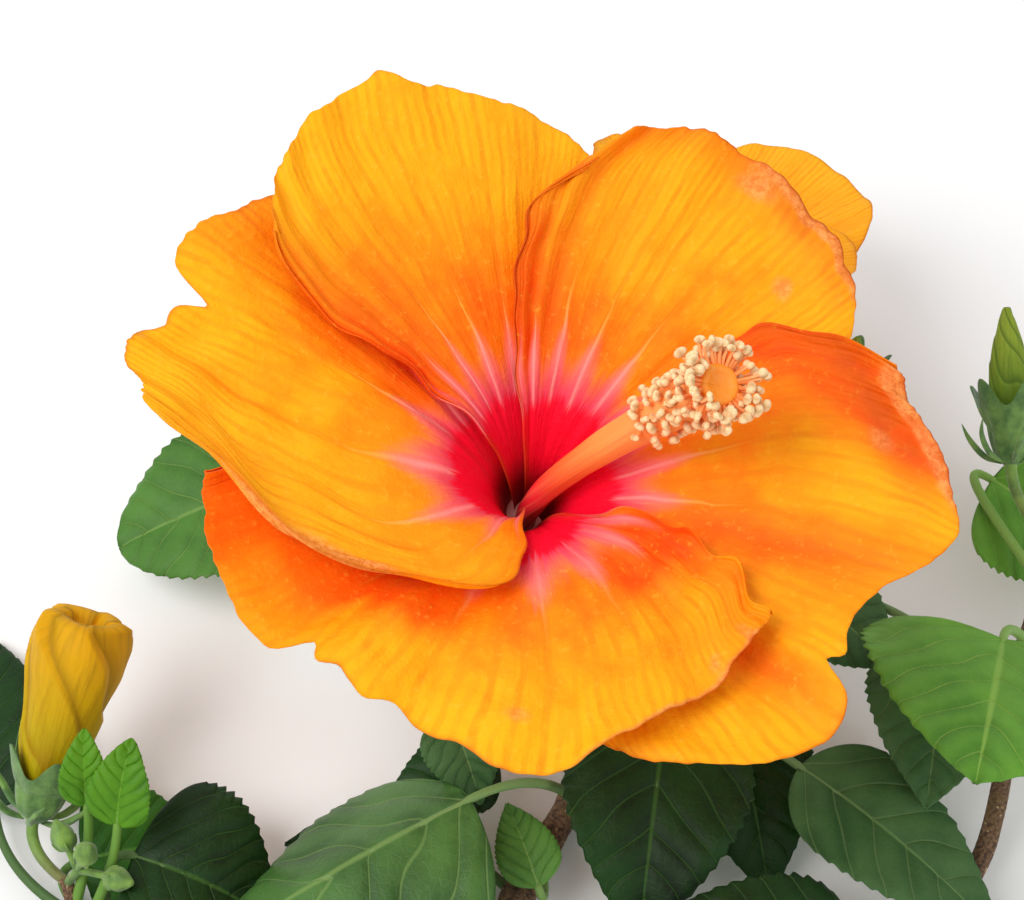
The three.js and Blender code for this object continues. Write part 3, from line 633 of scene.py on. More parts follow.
# ---------------------------------------------------------------- petals
# Five broad petals to a bloom, thin as paper, overlapped like a pinwheel: each one's left edge
# lies over the next. They grow from the throat in a tight funnel and open wide, with fine forking
# veins, soft folds, and ruffled rims, dried here and there. The throat is crimson.

PETAL_THICKNESS = 0.45
RIM_WIDTH = 0.45
SCALLOPS = (3.1, 5.3, 8.7)
# Each bloom: how far its petals roll over each other, and the side line of its funnel: the radius
# and the angle that it starts with, the angle that it opens to, and the length that this takes.
# Ruffle scales its waves, size is the length of its petals, seed starts their random draws, and
# grid is how many points each has along and across.
MAIN_BLOOM = {
    "roll": 5.0, "cup": (3.8, 18, 73, 38), "ruffle": 1.0, "size": 84, "seed": 11, "grid": (190, 221),
}
BACK_BLOOM = {
    "roll": 4.5, "cup": (3.2, 18, 66, 34), "ruffle": 0.6, "size": 46, "seed": 71, "grid": (70, 81),
}
# Each petal: the bearing of its middle in degrees; its half width on the right and on the left,
# in degrees, at equal steps from foot to rim; and its length at equal steps from right to left.
# Marks are (across from -1 to 1, along from 0 to 1, width across, width along, strength):
# notch shortens the rim by that share, lift raises the petal by millimetres, warm marks are a
# deeper and redder orange, partly the petal's own colour and partly painted shade under
# overhanging margins and curled rims and along fold valleys, or gold where negative, brown is a
# bruise, and dry the pinkish parchment of a withered rim. Eye moves the crimson's edge outwards
# by millimetres, and rays is the strength of the pale rays beyond it.
MAIN_PETALS = {
    "upper_left": {
        "bearing": 108,
        "right": [36, 36, 38, 40, 40],
        "left": [30, 29, 31, 37, 39, 41, 43, 42, 37],
        "reach": [60, 68, 75, 78.8, 83, 85.5, 83, 78, 70],
        "notch": [(0.09, 1, 0.04, 9, -0.02), (-0.01, 1, 0.03, 9, 0.012)],
        "lift": [
            (0.12, 1.0, 0.12, 0.1, 1.0), (0.95, 0.62, 0.2, 0.1, 1.6),
            (0.9, 0.42, 0.2, 0.06, -0.8),
        ],
        "warmth_and_shade": [
            (0.95, 0.8, 0.35, 0.4, 0.7), (0.1, 0.48, 0.8, 0.22, 0.55),
            (1.0, 0.45, 0.35, 0.2, 0.6), (-0.75, 0.78, 0.4, 0.3, -0.9),
            (0.0, 1.0, 0.6, 0.2, -0.4),
        ],
        "dry": [],
        "rays": 1,
    },
    "upper_right": {
        "bearing": 58,
        "right": [44, 46, 48, 48, 46],
        "left": [36, 40, 43, 43, 43, 41, 37.5, 33, 24],
        "reach": [62, 70.5, 77.5, 78.5, 80, 80, 78, 73.5, 65],
        "notch": [(-0.2, 1, 0.03, 9, 0.012), (-0.36, 1, 0.04, 9, 0.012)],
        "lift": [
            (-0.3, 0.97, 0.25, 0.06, 1.6), (0.85, 0.7, 0.2, 0.3, 1.0),
            (0.2, 1.0, 0.4, 0.15, -1.2),
        ],
        "warmth_and_shade": [
            (0.9, 0.65, 0.45, 0.5, 0.9), (0.4, 0.35, 0.6, 0.2, 0.5), (0.1, 1.0, 0.7, 0.07, 0.5),
            (-0.7, 0.75, 0.3, 0.3, -0.4),
        ],
        "dry": [
            (-0.26, 1.0, 0.17, 0.025, 1.8), (-0.07, 0.94, 0.07, 0.04, 0.7),
            (-0.29, 0.83, 0.05, 0.04, 0.7),
        ],
        "brown": [(-0.2, 0.96, 0.2, 0.04, 0.6), (0.95, 0.7, 0.1, 0.3, 0.5)],
        "rays": 1,
    },
    "right": {
        "bearing": -26,
        "right": [40, 48, 56, 60, 60],
        "left": [40, 41, 44, 52, 58, 59.5, 55.3, 46.2, 36],
        "reach": [60, 67, 73, 79, 80, 72.5, 73, 80, 83, 81, 78, 75, 74],
        "notch": [(-0.165, 1, 0.02, 9, 0.06)],
        "lift": [
            (0.75, 0.97, 0.3, 0.05, 1.8), (-0.19, 1.0, 0.05, 0.12, 3.2),
            (-0.25, 0.75, 0.05, 0.3, -1.4), (0.02, 0.7, 0.05, 0.25, -1.0),
            (0.12, 0.75, 0.05, 0.25, 0.8), (0.95, 0.75, 0.2, 0.2, 1.6),
        ],
        # Painted shade: the marks at (0.04, 0.75) and (-0.22, 0.7) darken the fold valleys that the
        # lift marks sink there, and the one at (0.85, 0.78) the shade under the curled-up margin.
        "warmth_and_shade": [
            (0.85, 0.78, 0.35, 0.24, 1.0), (0.56, 0.86, 0.25, 0.12, 0.9),
            (0.4, 0.94, 0.12, 0.07, 0.8), (0.04, 0.75, 0.1, 0.3, 0.85),
            (-0.22, 0.7, 0.05, 0.3, 0.8), (-0.6, 0.9, 0.3, 0.4, 0.3),
            (0.45, 0.45, 0.3, 0.15, 0.3), (0.2, 0.72, 0.15, 0.2, -0.3),
            (-0.4, 0.86, 0.2, 0.15, -0.4),
        ],
        "dry": [(0.55, 1.0, 0.26, 0.045, 2.0), (0.36, 0.86, 0.05, 0.04, 0.5)],
        "brown": [
            (0.6, 0.9, 0.25, 0.06, 1.0), (0.86, 0.8, 0.15, 0.16, 0.6),
            (0.38, 0.9, 0.1, 0.05, 0.9),
        ],
        "rays": 0.8,
    },
    "lower": {
        "bearing": -101,
        "right": [50, 66, 74, 76, 74],
        "left": [54, 54, 54, 61, 71, 70, 69, 64, 61],
        "reach": [66, 68, 69, 69.5, 63, 66, 70.5, 72.5, 69, 65.5, 64, 62.5, 61],
        "notch": [
            (-0.3, 1, 0.021, 9, 0.085), (-0.175, 1, 0.05, 9, -0.072),
            (-0.135, 1, 0.03, 9, 0.03), (-0.03, 1, 0.025, 9, 0.02), (0.035, 1, 0.04, 9, -0.02),
        ],
        "lift": [
            (0.97, 0.46, 0.2, 0.05, 2.4), (0.97, 0.56, 0.2, 0.05, -1.6),
            (0.97, 0.66, 0.2, 0.05, 2.0), (0.97, 0.75, 0.2, 0.04, -0.8),
            (0.97, 0.83, 0.2, 0.04, 0.8), (-0.32, 0.8, 0.05, 0.3, -1.3),
            (-0.22, 0.8, 0.04, 0.3, 0.9), (0.12, 0.8, 0.05, 0.3, -0.8),
            (0.6, 0.58, 0.03, 0.1, -1.3), (-0.1, 0.8, 0.04, 0.25, -0.7),
        ],
        # Painted shade: the marks at (0.5, 0.54), (0.74, 0.5) and (0.88, 0.64) darken the petal along
        # its ruffled upper margin, and those at (-0.24, 0.66) and (-0.4, 0.76) under the left petal's
        # margin.
        "warmth_and_shade": [
            (0.5, 0.54, 0.22, 0.14, 1.0), (0.74, 0.5, 0.2, 0.12, 1.0),
            (0.88, 0.64, 0.25, 0.12, 0.8), (-0.8, 0.85, 0.5, 0.4, 1.0),
            (-0.45, 0.55, 0.3, 0.15, 1.0), (-0.24, 0.66, 0.14, 0.1, 1.0),
            (-0.4, 0.76, 0.12, 0.1, 0.7), (0.75, 0.9, 0.25, 0.2, 0.4),
            (0.0, 0.5, 0.3, 0.12, 0.5), (-0.12, 0.86, 0.25, 0.18, -0.4),
        ],
        "dry": [
            (0.45, 1.0, 0.4, 0.018, 0.6), (0.53, 0.95, 0.05, 0.04, 0.55),
            (0.69, 0.96, 0.05, 0.05, 0.55), (0.06, 0.84, 0.04, 0.04, 0.5),
        ],
        "eye": [(0.0, 0.3, 0.3, 0.3, 4)],
        "rays": 0.35,
    },
    "left": {
        "bearing": 165,
        "right": [45, 45, 48, 48, 44],
        "left": [50, 80, 91, 95, 98, 95, 88, 68, 54, 46, 30, 23, 18],
        "reach": [70, 73, 76, 78.5, 82.5, 80, 78, 82, 82.5, 81.5, 79, 79, 76],
        "notch": [(-0.08, 1, 0.03, 9, 0.09), (0.55, 1, 0.03, 9, 0.01)],
        "lift": [
            (0.98, 0.8, 0.2, 0.2, 1.8), (0.98, 0.5, 0.12, 0.15, 1.4),
            (0.95, 0.14, 0.2, 0.08, 2.6), (-0.2, 0.8, 0.06, 0.3, 1.0),
            (0.1, 0.75, 0.06, 0.25, -1.0), (0.35, 0.7, 0.05, 0.2, 0.7),
        ],
        # Painted shade: the mark at (-0.35, 0.48) darkens the part that lies under the upper-left
        # petal's margin.
        "warmth_and_shade": [
            (-1.0, 0.8, 0.3, 0.3, 0.9), (-0.35, 0.48, 0.22, 0.25, 1.0),
            (0.1, 0.75, 0.06, 0.2, 0.4), (-0.3, 0.95, 0.15, 0.2, 0.4),
            (0.2, 0.6, 0.35, 0.3, -0.5), (0.7, 0.5, 0.25, 0.25, -0.3),
            (0.2, 0.95, 0.2, 0.1, -0.4),
        ],
        "dry": [(0.8, 0.76, 0.22, 0.14, 0.9), (0.8, 0.66, 0.15, 0.08, 0.6)],
        "eye": [(0.8, 0.25, 0.4, 0.35, -13)],
        "rays": 0.9,
    },
}
BACK_PETALS = {
    name: {"bearing": 45 + 72 * k, "right": [46, 46], "left": [46, 46],
           "reach": [29, 38, 43, 45.5, 46, 45.5, 43, 38, 29]}
    for k, name in enumerate(["right", "upper_right", "upper_left", "lower_left", "lower_right"])
}
BACK_PETALS["right"]["reach"] = [34, 43.5, 48.5, 50, 50.5, 50, 47.5, 42, 31]
BACK_PETALS["lower_right"]["reach"] = [28, 35, 39, 41, 41.5, 41, 40, 36, 28]


def marks(table, q, t):
    """The sum of round marks, each a bell curve of its distance from its centre."""
    total = 0 * q + 0 * t
    for across, along, width, length, strength in table:
        total = total + strength * np.exp(-(((q - across) / width) ** 2) - ((t - along) / length) ** 2)
    return total


def petal_shape(throat, axis, bloom, petal, seed):
    """The petal's middle surface, its thickness, and where each point lies on it. At the share t
    from foot to rim and q across it, it lies t * reach along the bloom's side line, turned by
    sin(pi q / 2) times its half width about the axis, and raised off that line by the pinwheel
    roll, waves that all petals share, folds, rim ruffles and its own lift marks. Both side edges
    wander a little."""
    start_radius, start_angle, end_angle, bend = bloom["cup"]
    s = np.arange(0, 110, 0.5)
    slope = np.radians(start_angle + (end_angle - start_angle) * step(s / bend))
    radius_at = start_radius + np.concatenate([[0], np.cumsum(0.5 * np.sin(slope[:-1]))])
    height_at = np.concatenate([[0], np.cumsum(0.5 * np.cos(slope[:-1]))])

    rng = np.random.RandomState(seed)
    rows, columns = bloom["grid"]
    t = np.linspace(0, 1, rows)[:, None] ** 0.9
    q = np.linspace(-1, 1, columns)[None, :]
    across = np.sin(np.pi / 2 * q)
    half = np.where(across < 0, through(petal["right"], t), through(petal["left"], t))
    sway = wander(7 * t, 0.1 * np.sign(q), seed + 3)
    half = half * (1 + 0.03 * np.abs(across) ** 4 * sway * step(3 * t))
    length = through(petal["reach"], (across + 1) / 2) * (1 - marks(petal.get("notch", []), q, 1))
    scallop = 0
    for waves in SCALLOPS:
        wave = np.sin(2 * np.pi * (waves * q + rng.uniform()))
        scallop = scallop + wave * rng.uniform(0.3, 1) / waves
    jitter = wander(30 * q, 0.1, seed + 4)
    length = length * (1 + bloom["ruffle"] * (1 - q ** 6) * (0.02 * scallop + 0.0018 * jitter))
    far = t * length
    turn = np.radians(petal["bearing"] + across * half)
    share = far / bloom["size"]

    roll = bloom["roll"] * across * (0.25 + 0.75 * t)
    together = 1.5 * share ** 2 * np.sin(3 * turn + 1) + share ** 3 * np.sin(8 * turn)
    fold = wander(q * 7, t * 0.3, seed) * 0.42 * step(t * 2)
    crease = wander(q * 22, t * 0.7, seed + 1, 12) * 0.06 * step(t * 1.5)
    ruffle = 0.8 * t ** 7 * np.sin(2 * np.pi * (3.4 * q + rng.uniform()) + 1.5 * np.sin(7 * q))
    side = 0.55 * np.abs(across) ** 8 * wander(4.5 * t, 0.2 * np.sign(q), seed + 5) * step(2.5 * t)
    dimple = 0.25 * wander(q * 3, t * 2.4, seed + 2) * step(t * 1.4)
    lift = roll + bloom["ruffle"] * (together + ruffle + side + fold + dimple + crease)
    lift = lift + marks(petal.get("lift", []), q, t)

    angle = np.interp(far, s, slope)
    up, side_way, beyond = bloom_axes(axis)
    out = np.cos(turn)[..., None] * side_way + np.sin(turn)[..., None] * beyond
    off_axis = np.interp(far, s, radius_at) - lift * np.cos(angle)
    height = np.interp(far, s, height_at) + lift * np.sin(angle)
    middle = np.array(throat) + off_axis[..., None] * out + height[..., None] * up
    edge = np.minimum((1 - t) * length, (1 - np.abs(across)) * np.radians(half) * off_axis)
    thickness = PETAL_THICKNESS * (0.4 + 0.6 * step(edge / 2))
    # Painted shade: the valleys that the folds and creases sink get a little deeper orange.
    valley_shade = step(0.5 - (fold + crease) / 0.7)
    return middle, thickness, q + 0 * t, t + 0 * q, far, edge, valley_shade


def petal_material(name, eye, deep, bright):
    """Satin petal skin. Its colour follows the distance from the throat: crimson out to the eye's
    ragged edge, pink beyond it, drawn out in pale rays along the main veins, then cloudy orange,
    yellower towards the rim. The veins fork three times on their way, as thin darker lines. The
    petal's warm marks are laid over that, a deeper orange that is partly painted shade under
    overhanging margins and in fold valleys, then its brown and dry marks, and a darker line along
    its edge."""
    material, tree, shader = start_material(name, 0.6)
    shader.inputs["Specular IOR Level"].default_value = 0.15
    uv = node(tree, "UVMap", uv_map="UVMap")
    where = node(tree, "TexCoord", out=3)
    far = painted(tree, "far")
    across, along = split(tree, uv)

    def less(one, two):
        return node(tree, "Math", one, two, operation="SUBTRACT")

    def more(one, two):
        return node(tree, "Math", one, two, operation="ADD")

    def times(one, two):
        return node(tree, "Math", one, two, operation="MULTIPLY")

    def larger(one, two):
        return node(tree, "Math", one, two, operation="MAXIMUM")

    streak = grain(tree, uv, 22, 2.2, 4.0)
    fibre = grain(tree, uv, 150, 7, 3.0)
    ripple = grain(tree, uv, 60, 14, 3.0)
    cloud = noise(tree, where, 42.0, 4.0)
    mottle = noise(tree, where, 170.0, 4.0, 0.6)
    crinkle = noise(tree, where, 650.0, 4.0, 0.65)
    sway = more(across, times(less(noise(tree, where, 60.0, 2.0), 0.5), 0.03))

    def vein(count, start, thickness):
        gap = node(tree, "Math", times(sway, float(count)), 0.5, operation="PINGPONG")
        distance = times(times(gap, along), 80.0 / count)
        line = fade(tree, distance, thickness * 0.3, thickness, 1.0, 0.0)
        return times(line, fade(tree, along, start - 0.08, start + 0.12)) if start else line

    middle = node(tree, "Math", times(less(across, 0.5), 2.0), operation="ABSOLUTE")
    ragged = more(times(less(streak, 0.5), 7.0), times(less(fibre, 0.5), 8.0))
    beyond_eye = more(more(less(far, eye), times(times(middle, middle), 4.0)), ragged)
    red = fade(tree, beyond_eye, -1.2, 1.4, 1.0, 0.0)
    main_vein = node(tree, "Math", times(sway, 9.0), 0.5, operation="PINGPONG")
    near_vein = fade(tree, main_vein, 0.0, 0.4, 1.0, 0.0)
    beyond_pink = less(beyond_eye, times(near_vein, 7.0))
    pink = fade(tree, beyond_pink, 0.0, 9.0, 1.0, 0.0)

    reach = fade(tree, grain(tree, uv, 6, 0, 1.0), 0.35, 0.65, 0.55, 1.1)
    reach = times(reach, fade(tree, middle, 0.3, 1.0, 1.0, 0.5))
    ray_share = node(tree, "Math", beyond_eye, times(reach, 34.0), operation="DIVIDE")
    ray_width = fade(tree, ray_share, 0.0, 1.0, 0.13, 0.015)
    ray = node(tree, "MapRange", main_vein, 0.0, ray_width, 1.0, 0.0, interpolation_type="SMOOTHSTEP")
    ray = times(ray, fade(tree, ray_share, 0.35, 1.0, 0.95, 0.0))
    ray = times(ray, painted(tree, "rays"))

    clouds = times(less(cloud, 0.5), 1.3)
    for texture, share in ((mottle, 0.9), (streak, 0.55), (ripple, 0.15)):
        clouds = more(clouds, times(less(texture, 0.5), share))
    tone = more(clouds, times(less(along, 0.62), 1.5))
    field = mix(tree, fade(tree, tone, -0.6, 0.6), colour(*deep), colour(*bright))
    # Warm marks: a deeper, redder orange, partly the petal's own colour and partly painted shade under
    # overhanging margins and in fold valleys; gold where negative.
    warmth_and_shade = painted(tree, "warmth_and_shade")
    clouded = times(warmth_and_shade, fade(tree, more(cloud, streak), 0.6, 1.2, 1.0, 0.75))
    field = mix(tree, clouded, field, colour(246, 66, 0))
    field = mix(tree, times(warmth_and_shade, -1.0), field, colour(255, 184, 16))
    lines = times(vein(9, 0.0, 0.5), 0.5)
    forks = ((18, 0.4, 0.4, 1.0), (36, 0.62, 0.34, 0.8), (72, 0.8, 0.3, 0.6))
    for count, start, thickness, share in forks:
        lines = larger(lines, times(vein(count, start, thickness), share))
    lines = times(lines, fade(tree, mottle, 0.3, 0.7, 0.05, 0.4))
    field = mix(tree, lines, field, colour(226, 100, 0))
    wrinkle = times(fade(tree, ripple, 0.54, 0.7), fade(tree, along, 0.3, 1.0, 0.02, 0.14))
    field = mix(tree, wrinkle, field, colour(244, 124, 4))
    field = mix(tree, fade(tree, crinkle, 0.55, 0.75, 0.0, 0.3), field, colour(255, 196, 60))
    ray_tint = mix(tree, fade(tree, beyond_eye, 4.0, 22.0), colour(255, 140, 124), colour(255, 190, 70))
    field = mix(tree, ray, field, ray_tint)
    pinks = mix(tree, fade(tree, beyond_eye, 0.0, 9.0), colour(236, 60, 92), colour(252, 118, 112))
    pinks = mix(tree, times(ray, 0.6), pinks, colour(255, 164, 156))
    field = mix(tree, times(pink, fade(tree, fibre, 0.3, 0.6, 0.75, 1.0)), field, pinks)
    crimson = mix(tree, fade(tree, far, 4.0, 13.0), colour(156, 0, 16), colour(248, 2, 44))
    field = mix(tree, red, field, crimson)

    bruise = times(painted(tree, "brown"), fade(tree, more(cloud, mottle), 0.7, 1.2, 0.35, 0.8))
    field = mix(tree, bruise, field, colour(202, 78, 10))
    dry = painted(tree, "dry")
    dried = fade(tree, more(dry, times(less(cloud, 0.5), 0.8)), 0.25, 0.7, 0.0, 0.7)
    from_scar = node(tree, "Math", less(noise(tree, where, 260.0, 3.0), 0.5), operation="ABSOLUTE")
    scar = fade(tree, from_scar, 0.0, 0.03, 1.0, 0.0)
    parchment = mix(tree, fade(tree, crinkle, 0.4, 0.62), colour(230, 128, 64), colour(250, 166, 96))
    parchment = mix(tree, times(scar, 0.5), parchment, colour(180, 76, 26))
    field = mix(tree, dried, field, parchment)
    outline = larger(fade(tree, noise(tree, where, 45.0, 2.0), 0.42, 0.62, 0.1, 0.65), dry)
    field = mix(tree, times(painted(tree, "rim"), outline), field, colour(196, 78, 16))

    height = times(lines, -0.35)
    for texture, share in ((ripple, 0.45), (streak, 0.3), (crinkle, 0.4), (mottle, 0.8), (fibre, 0.3)):
        height = more(height, times(texture, share))
    coat(tree, shader, field, height, 0.0009, 0.6)
    return material


def dress_petals(kind, bloom, petals, material):
    """Makes a bloom's petals, each in place of its solid. Both sides carry the same map and
    values."""
    throat, axis = FLOWERS[kind][:2]
    for count, (name, petal) in enumerate(petals.items()):
        name = f"{kind}_petal_{name}"
        seed = bloom["seed"] + 7 * count
        middle, thickness, q, t, far, edge, valley_shade = petal_shape(throat, axis, bloom, petal, seed)
        laid = {mark: marks(petal.get(mark, []), q, t) for mark in ("eye", "warmth_and_shade", "dry", "brown")}
        values = {
            "far": far - laid["eye"],
            # Painted shade: a little deeper orange in the fold valleys, away from the throat.
            "warmth_and_shade": (laid["warmth_and_shade"] + 0.1 * valley_shade * step(t * 3 - 0.8)).clip(-1, 1),
            "dry": laid["dry"].clip(0, 1),
            "brown": laid["brown"].clip(0, 1),
            "rim": np.exp(-edge / RIM_WIDTH),
            "rays": petal.get("rays", 1) + 0 * q,
        }
        values = {key: np.tile(numbers.ravel(), 2) for key, numbers in values.items()}
        uv = np.tile(np.stack([(q + 1) / 2, t], -1).reshape(-1, 2), (2, 1))
        make_piece(name, sheet(middle, thickness), material, "petal", [name], uv=uv, **values)


main_petal = petal_material("petal_main", 23.0, (252, 120, 0), (255, 176, 12))
back_petal = petal_material("petal_back", 14.0, (252, 134, 4), (255, 180, 24))
dress_petals("main", MAIN_BLOOM, MAIN_PETALS, main_petal)
dress_petals("back", BACK_BLOOM, BACK_PETALS, back_petal)

# ---------------------------------------------------------------- columns and anthers
# The stamens' threads are grown together into one long fleshy tube, the column, red where it
# leaves the throat and salmon further on. Cream anthers crowd round its open orange end, each
# on a short thread.

# Each column: its tip from the throat, the way that the tip looks, its radius, how many anthers
# it has and their size, and the share of the path to the tip that the flesh itself takes up.
COLUMNS = {
    "main": ((32.5, -6, 55), (0.4, -0.3, 0.87), 4.2, 185, 2.0, 0.97),
    "back": ((9, 18, 36), (0.3, 0.3, 0.9), 2.8, 40, 1.6, 0.8),
}
COLUMN_OUTLINE = [0.46, 0.52, 0.58, 0.68, 0.8, 0.9, 0.86]
COLUMN_COLOURS = [
    (0.0, (170, 0, 34)), (0.22, (244, 40, 54)), (0.38, (250, 112, 52)), (0.54, (253, 152, 74)),
    (0.9, (254, 172, 98)), (1.0, (255, 148, 16)),
]
# The open end's profile: shares of the radius, across it and along it.
MOUTH = np.array([(0.96, 0.1), (0.86, 0.16), (0.72, 0.14), (0.6, 0.06), (0.45, -0.06), (0.05, -0.1)])
GAP = 0.3  # between the calyx's floor and the column's foot
COLUMN_RINGS, COLUMN_SIDES = 120, 36
THREAD_RINGS, THREAD_SIDES = 8, 7
THREAD_RADII = (0.4, 0.24)
SAC_ROWS, SAC_SIDES = 7, 8
GOLDEN_TURN = np.pi * (3 - np.sqrt(5))


def column_path(throat, axis, tip_offset, looks, count):
    """A cubic curve from the throat, up along the bloom's axis, to the tip, which it reaches the
    way that the tip looks."""
    up = unit(axis)
    throat = np.array(throat, float)
    tip = throat + tip_offset
    foot = throat + up * (CALYX_FLOOR + GAP)
    third = np.linalg.norm(tip - foot) / 3
    a, b, c, d = foot, foot + up * third * 0.85, tip - unit(looks) * third, tip
    s = np.linspace(0, 1, count)[:, None]
    return (1 - s) ** 3 * a + 3 * s * (1 - s) ** 2 * b + 3 * s * s * (1 - s) * c + s ** 3 * d


def column_material():
    """Moist flesh: crimson at the foot, through salmon, to orange at the open end, with faint
    lines along it."""
    material, tree, shader = start_material("column_flesh", 0.42)
    uv = node(tree, "UVMap", uv_map="UVMap")
    _, along = split(tree, uv)
    ramp = tree.nodes.new("ShaderNodeValToRGB")
    stops = ramp.color_ramp.elements
    while len(stops) < len(COLUMN_COLOURS):
        stops.new(0.5)
    for stop, (place, tint) in zip(stops, COLUMN_COLOURS):
        stop.position = place
        stop.color = colour(*tint)
    tree.links.new(along, ramp.inputs["Fac"])
    lines = grain(tree, uv, 18, 2, 3.0)
    pale = fade(tree, lines, 0.4, 0.8, 0.0, 0.35)
    tone = mix(tree, pale, ramp.outputs["Color"], colour(255, 188, 120))
    coat(tree, shader, tone, lines, 0.0004, 0.5)
    return material


def anther_material():
    """Cream pollen sacs with a grainy skin and painted olive-grey shade in their seams."""
    material, tree, shader = start_material("anther_cream", 0.75)
    where = node(tree, "TexCoord", out=3)
    pollen = noise(tree, where, 2600.0, 2.0)
    tone = mix(tree, fade(tree, pollen, 0.3, 0.7), colour(250, 202, 140), colour(255, 226, 180))
    # Painted shade: the sacs darken to olive-grey down in their furrows.
    tone = mix(tree, painted(tree, "seam"), tone, colour(206, 160, 104))
    coat(tree, shader, tone, pollen, 0.0003, 0.7)
    return material


def thread_material():
    """Thin salmon-pink threads, paler towards the anther."""
    material, tree, shader = start_material("anther_thread", 0.5)
    tone = mix(tree, painted(tree, "low"), colour(255, 192, 130), colour(255, 142, 58))
    tree.links.new(tone, shader.inputs["Base Color"])
    return material


def anthers_shape(roots, ends, size, seed):
    """One two-lobed sac on each end, turned at random about its thread, and how deep in its seam
    each point lies. A sac is a flattened ball with a furrow down both sides, as deep as the sixth
    power of the angle's sine."""
    rng = np.random.RandomState(seed)
    count = len(roots)
    out = ends - roots
    out /= np.linalg.norm(out, axis=1, keepdims=True)
    side = np.cross(out, rng.normal(size=(count, 3)))
    side /= np.linalg.norm(side, axis=1, keepdims=True)
    third = np.cross(out, side)
    tilt = np.linspace(0.02, np.pi - 0.02, SAC_ROWS)[:, None]
    turn = np.linspace(0, 2 * np.pi, SAC_SIDES, endpoint=False)[None, :]
    furrow = 0.24 * np.abs(np.sin(turn)) ** 6 * np.sin(tilt)
    ball = np.stack([
        1.1 * np.sin(tilt) * np.cos(turn) * (1 - furrow),
        0.8 * np.sin(tilt) * np.sin(turn) * (1 - furrow),
        0.75 * np.cos(tilt) + 0 * turn,
    ], -1).reshape(-1, 3)
    scale = size / 2 * rng.uniform(0.8, 1.2, count)[:, None, None]
    spread = sum(ball[None, :, k:k + 1] * way[:, None] for k, way in enumerate((side, third, out)))
    sacs = (ends[:, None] + scale * spread).reshape(-1, 3)
    shift = (np.arange(count) * SAC_ROWS * SAC_SIDES)[:, None, None]
    body = (grid_faces(SAC_ROWS, SAC_SIDES, wrap=True)[None] + shift).reshape(-1, 4)
    near = np.arange(SAC_SIDES)[None] + shift[..., 0]
    far = near[:, ::-1] + (SAC_ROWS - 1) * SAC_SIDES
    seam = np.tile((np.abs(np.sin(turn)) ** 8 * np.sin(tilt)).ravel(), count)
    return (sacs, [body, near, far]), seam


def anther_places(path, looks, radius, count):
    """The roots and the ends of the anthers' threads, and the way that each leaves the column:
    round the path by the golden angle, crowded towards its end, where they also lean out."""
    rng = np.random.RandomState(5)
    order = np.arange(count)
    share = 1 - 0.3 * (order / count) ** 2.2
    steps = np.linspace(0, 1, len(path))
    centre = np.stack([np.interp(share, steps, path[:, k]) for k in range(3)], -1)
    up = unit(looks)
    across = unit(np.cross(up, STEADY))
    beyond = np.cross(up, across)
    turn = order * GOLDEN_TURN + rng.uniform(-0.3, 0.3, count)
    out = np.cos(turn)[:, None] * across + np.sin(turn)[:, None] * beyond
    crown = np.clip(1 - order / (0.7 * count), 0, 1)[:, None]
    lean = 0.25 + 0.65 * step(3 * crown)
    spread = radius * (1.05 + lean * rng.uniform(0, 1, count)[:, None])
    rise = radius * (0.5 * crown + rng.uniform(-0.15, 0.25, count)[:, None])
    return centre + out * radius * 0.65, centre + out * spread + up * rise, out


column_flesh = column_material()
cream = anther_material()
thread_skin = thread_material()
for kind, (tip_offset, looks, radius, count, size, reach) in COLUMNS.items():
    throat, axis = FLOWERS[kind][:2]
    path = column_path(throat, axis, tip_offset, looks, round(COLUMN_RINGS / reach))[:COLUMN_RINGS]
    roots, ends, out = anther_places(path, looks, radius, count)
    share = np.linspace(0, 1, COLUMN_RINGS)
    thick = radius * through(COLUMN_OUTLINE, share)
    end = unit(path[-1] - path[-2])
    ways = np.vstack([np.gradient(path, axis=0), np.tile(end, (len(MOUTH), 1))])
    path = np.vstack([path, path[-1] + end * thick[-1] * MOUTH[:, 1:]])
    thick = np.concatenate([thick, thick[-1] * MOUTH[:, 0]])
    turn = np.linspace(0, 1, COLUMN_SIDES, endpoint=False)[None, :]
    bumps = 0.025 * np.cos(10 * np.pi * turn) + 0.02 * wander(path[:, 2:] * 0.1, turn, 9)
    along = np.concatenate([share, np.ones(len(MOUTH))])[:, None] + 0 * turn
    uv = np.stack([turn + 0 * along, along], -1)
    uv = np.vstack([uv.reshape(-1, 2), [[0, 0], [0, 1]]])
    shape = tube(path, thick[:, None] * (1 + bumps), COLUMN_SIDES, ways)
    make_piece(f"{kind}_column", shape, column_flesh, "column", [f"{kind}_column"], uv=uv)

    sacs, seam = anthers_shape(roots, ends, size, 8)
    make_piece(f"{kind}_anthers", sacs, cream, "column", seam=seam)
    threads = []
    for root, way, end in zip(roots, out, ends):
        path = arc(root, root + way * radius * 0.9, end, THREAD_RINGS)
        threads.append(tube(path, np.linspace(*THREAD_RADII, THREAD_RINGS), THREAD_SIDES))
    down = np.repeat(np.linspace(1, 0, THREAD_RINGS), THREAD_SIDES)
    low = np.tile(np.append(down, [1, 0]), count)
    make_piece(f"{kind}_threads", joined(threads), thread_skin, "column", low=low)

# ---------------------------------------------------------------- buds
# A bud is five petals still rolled round each other, each one's edge showing as a slanting fold.
# The big one is just letting go at its tip, yellow and limp; the others are shut and greenish.

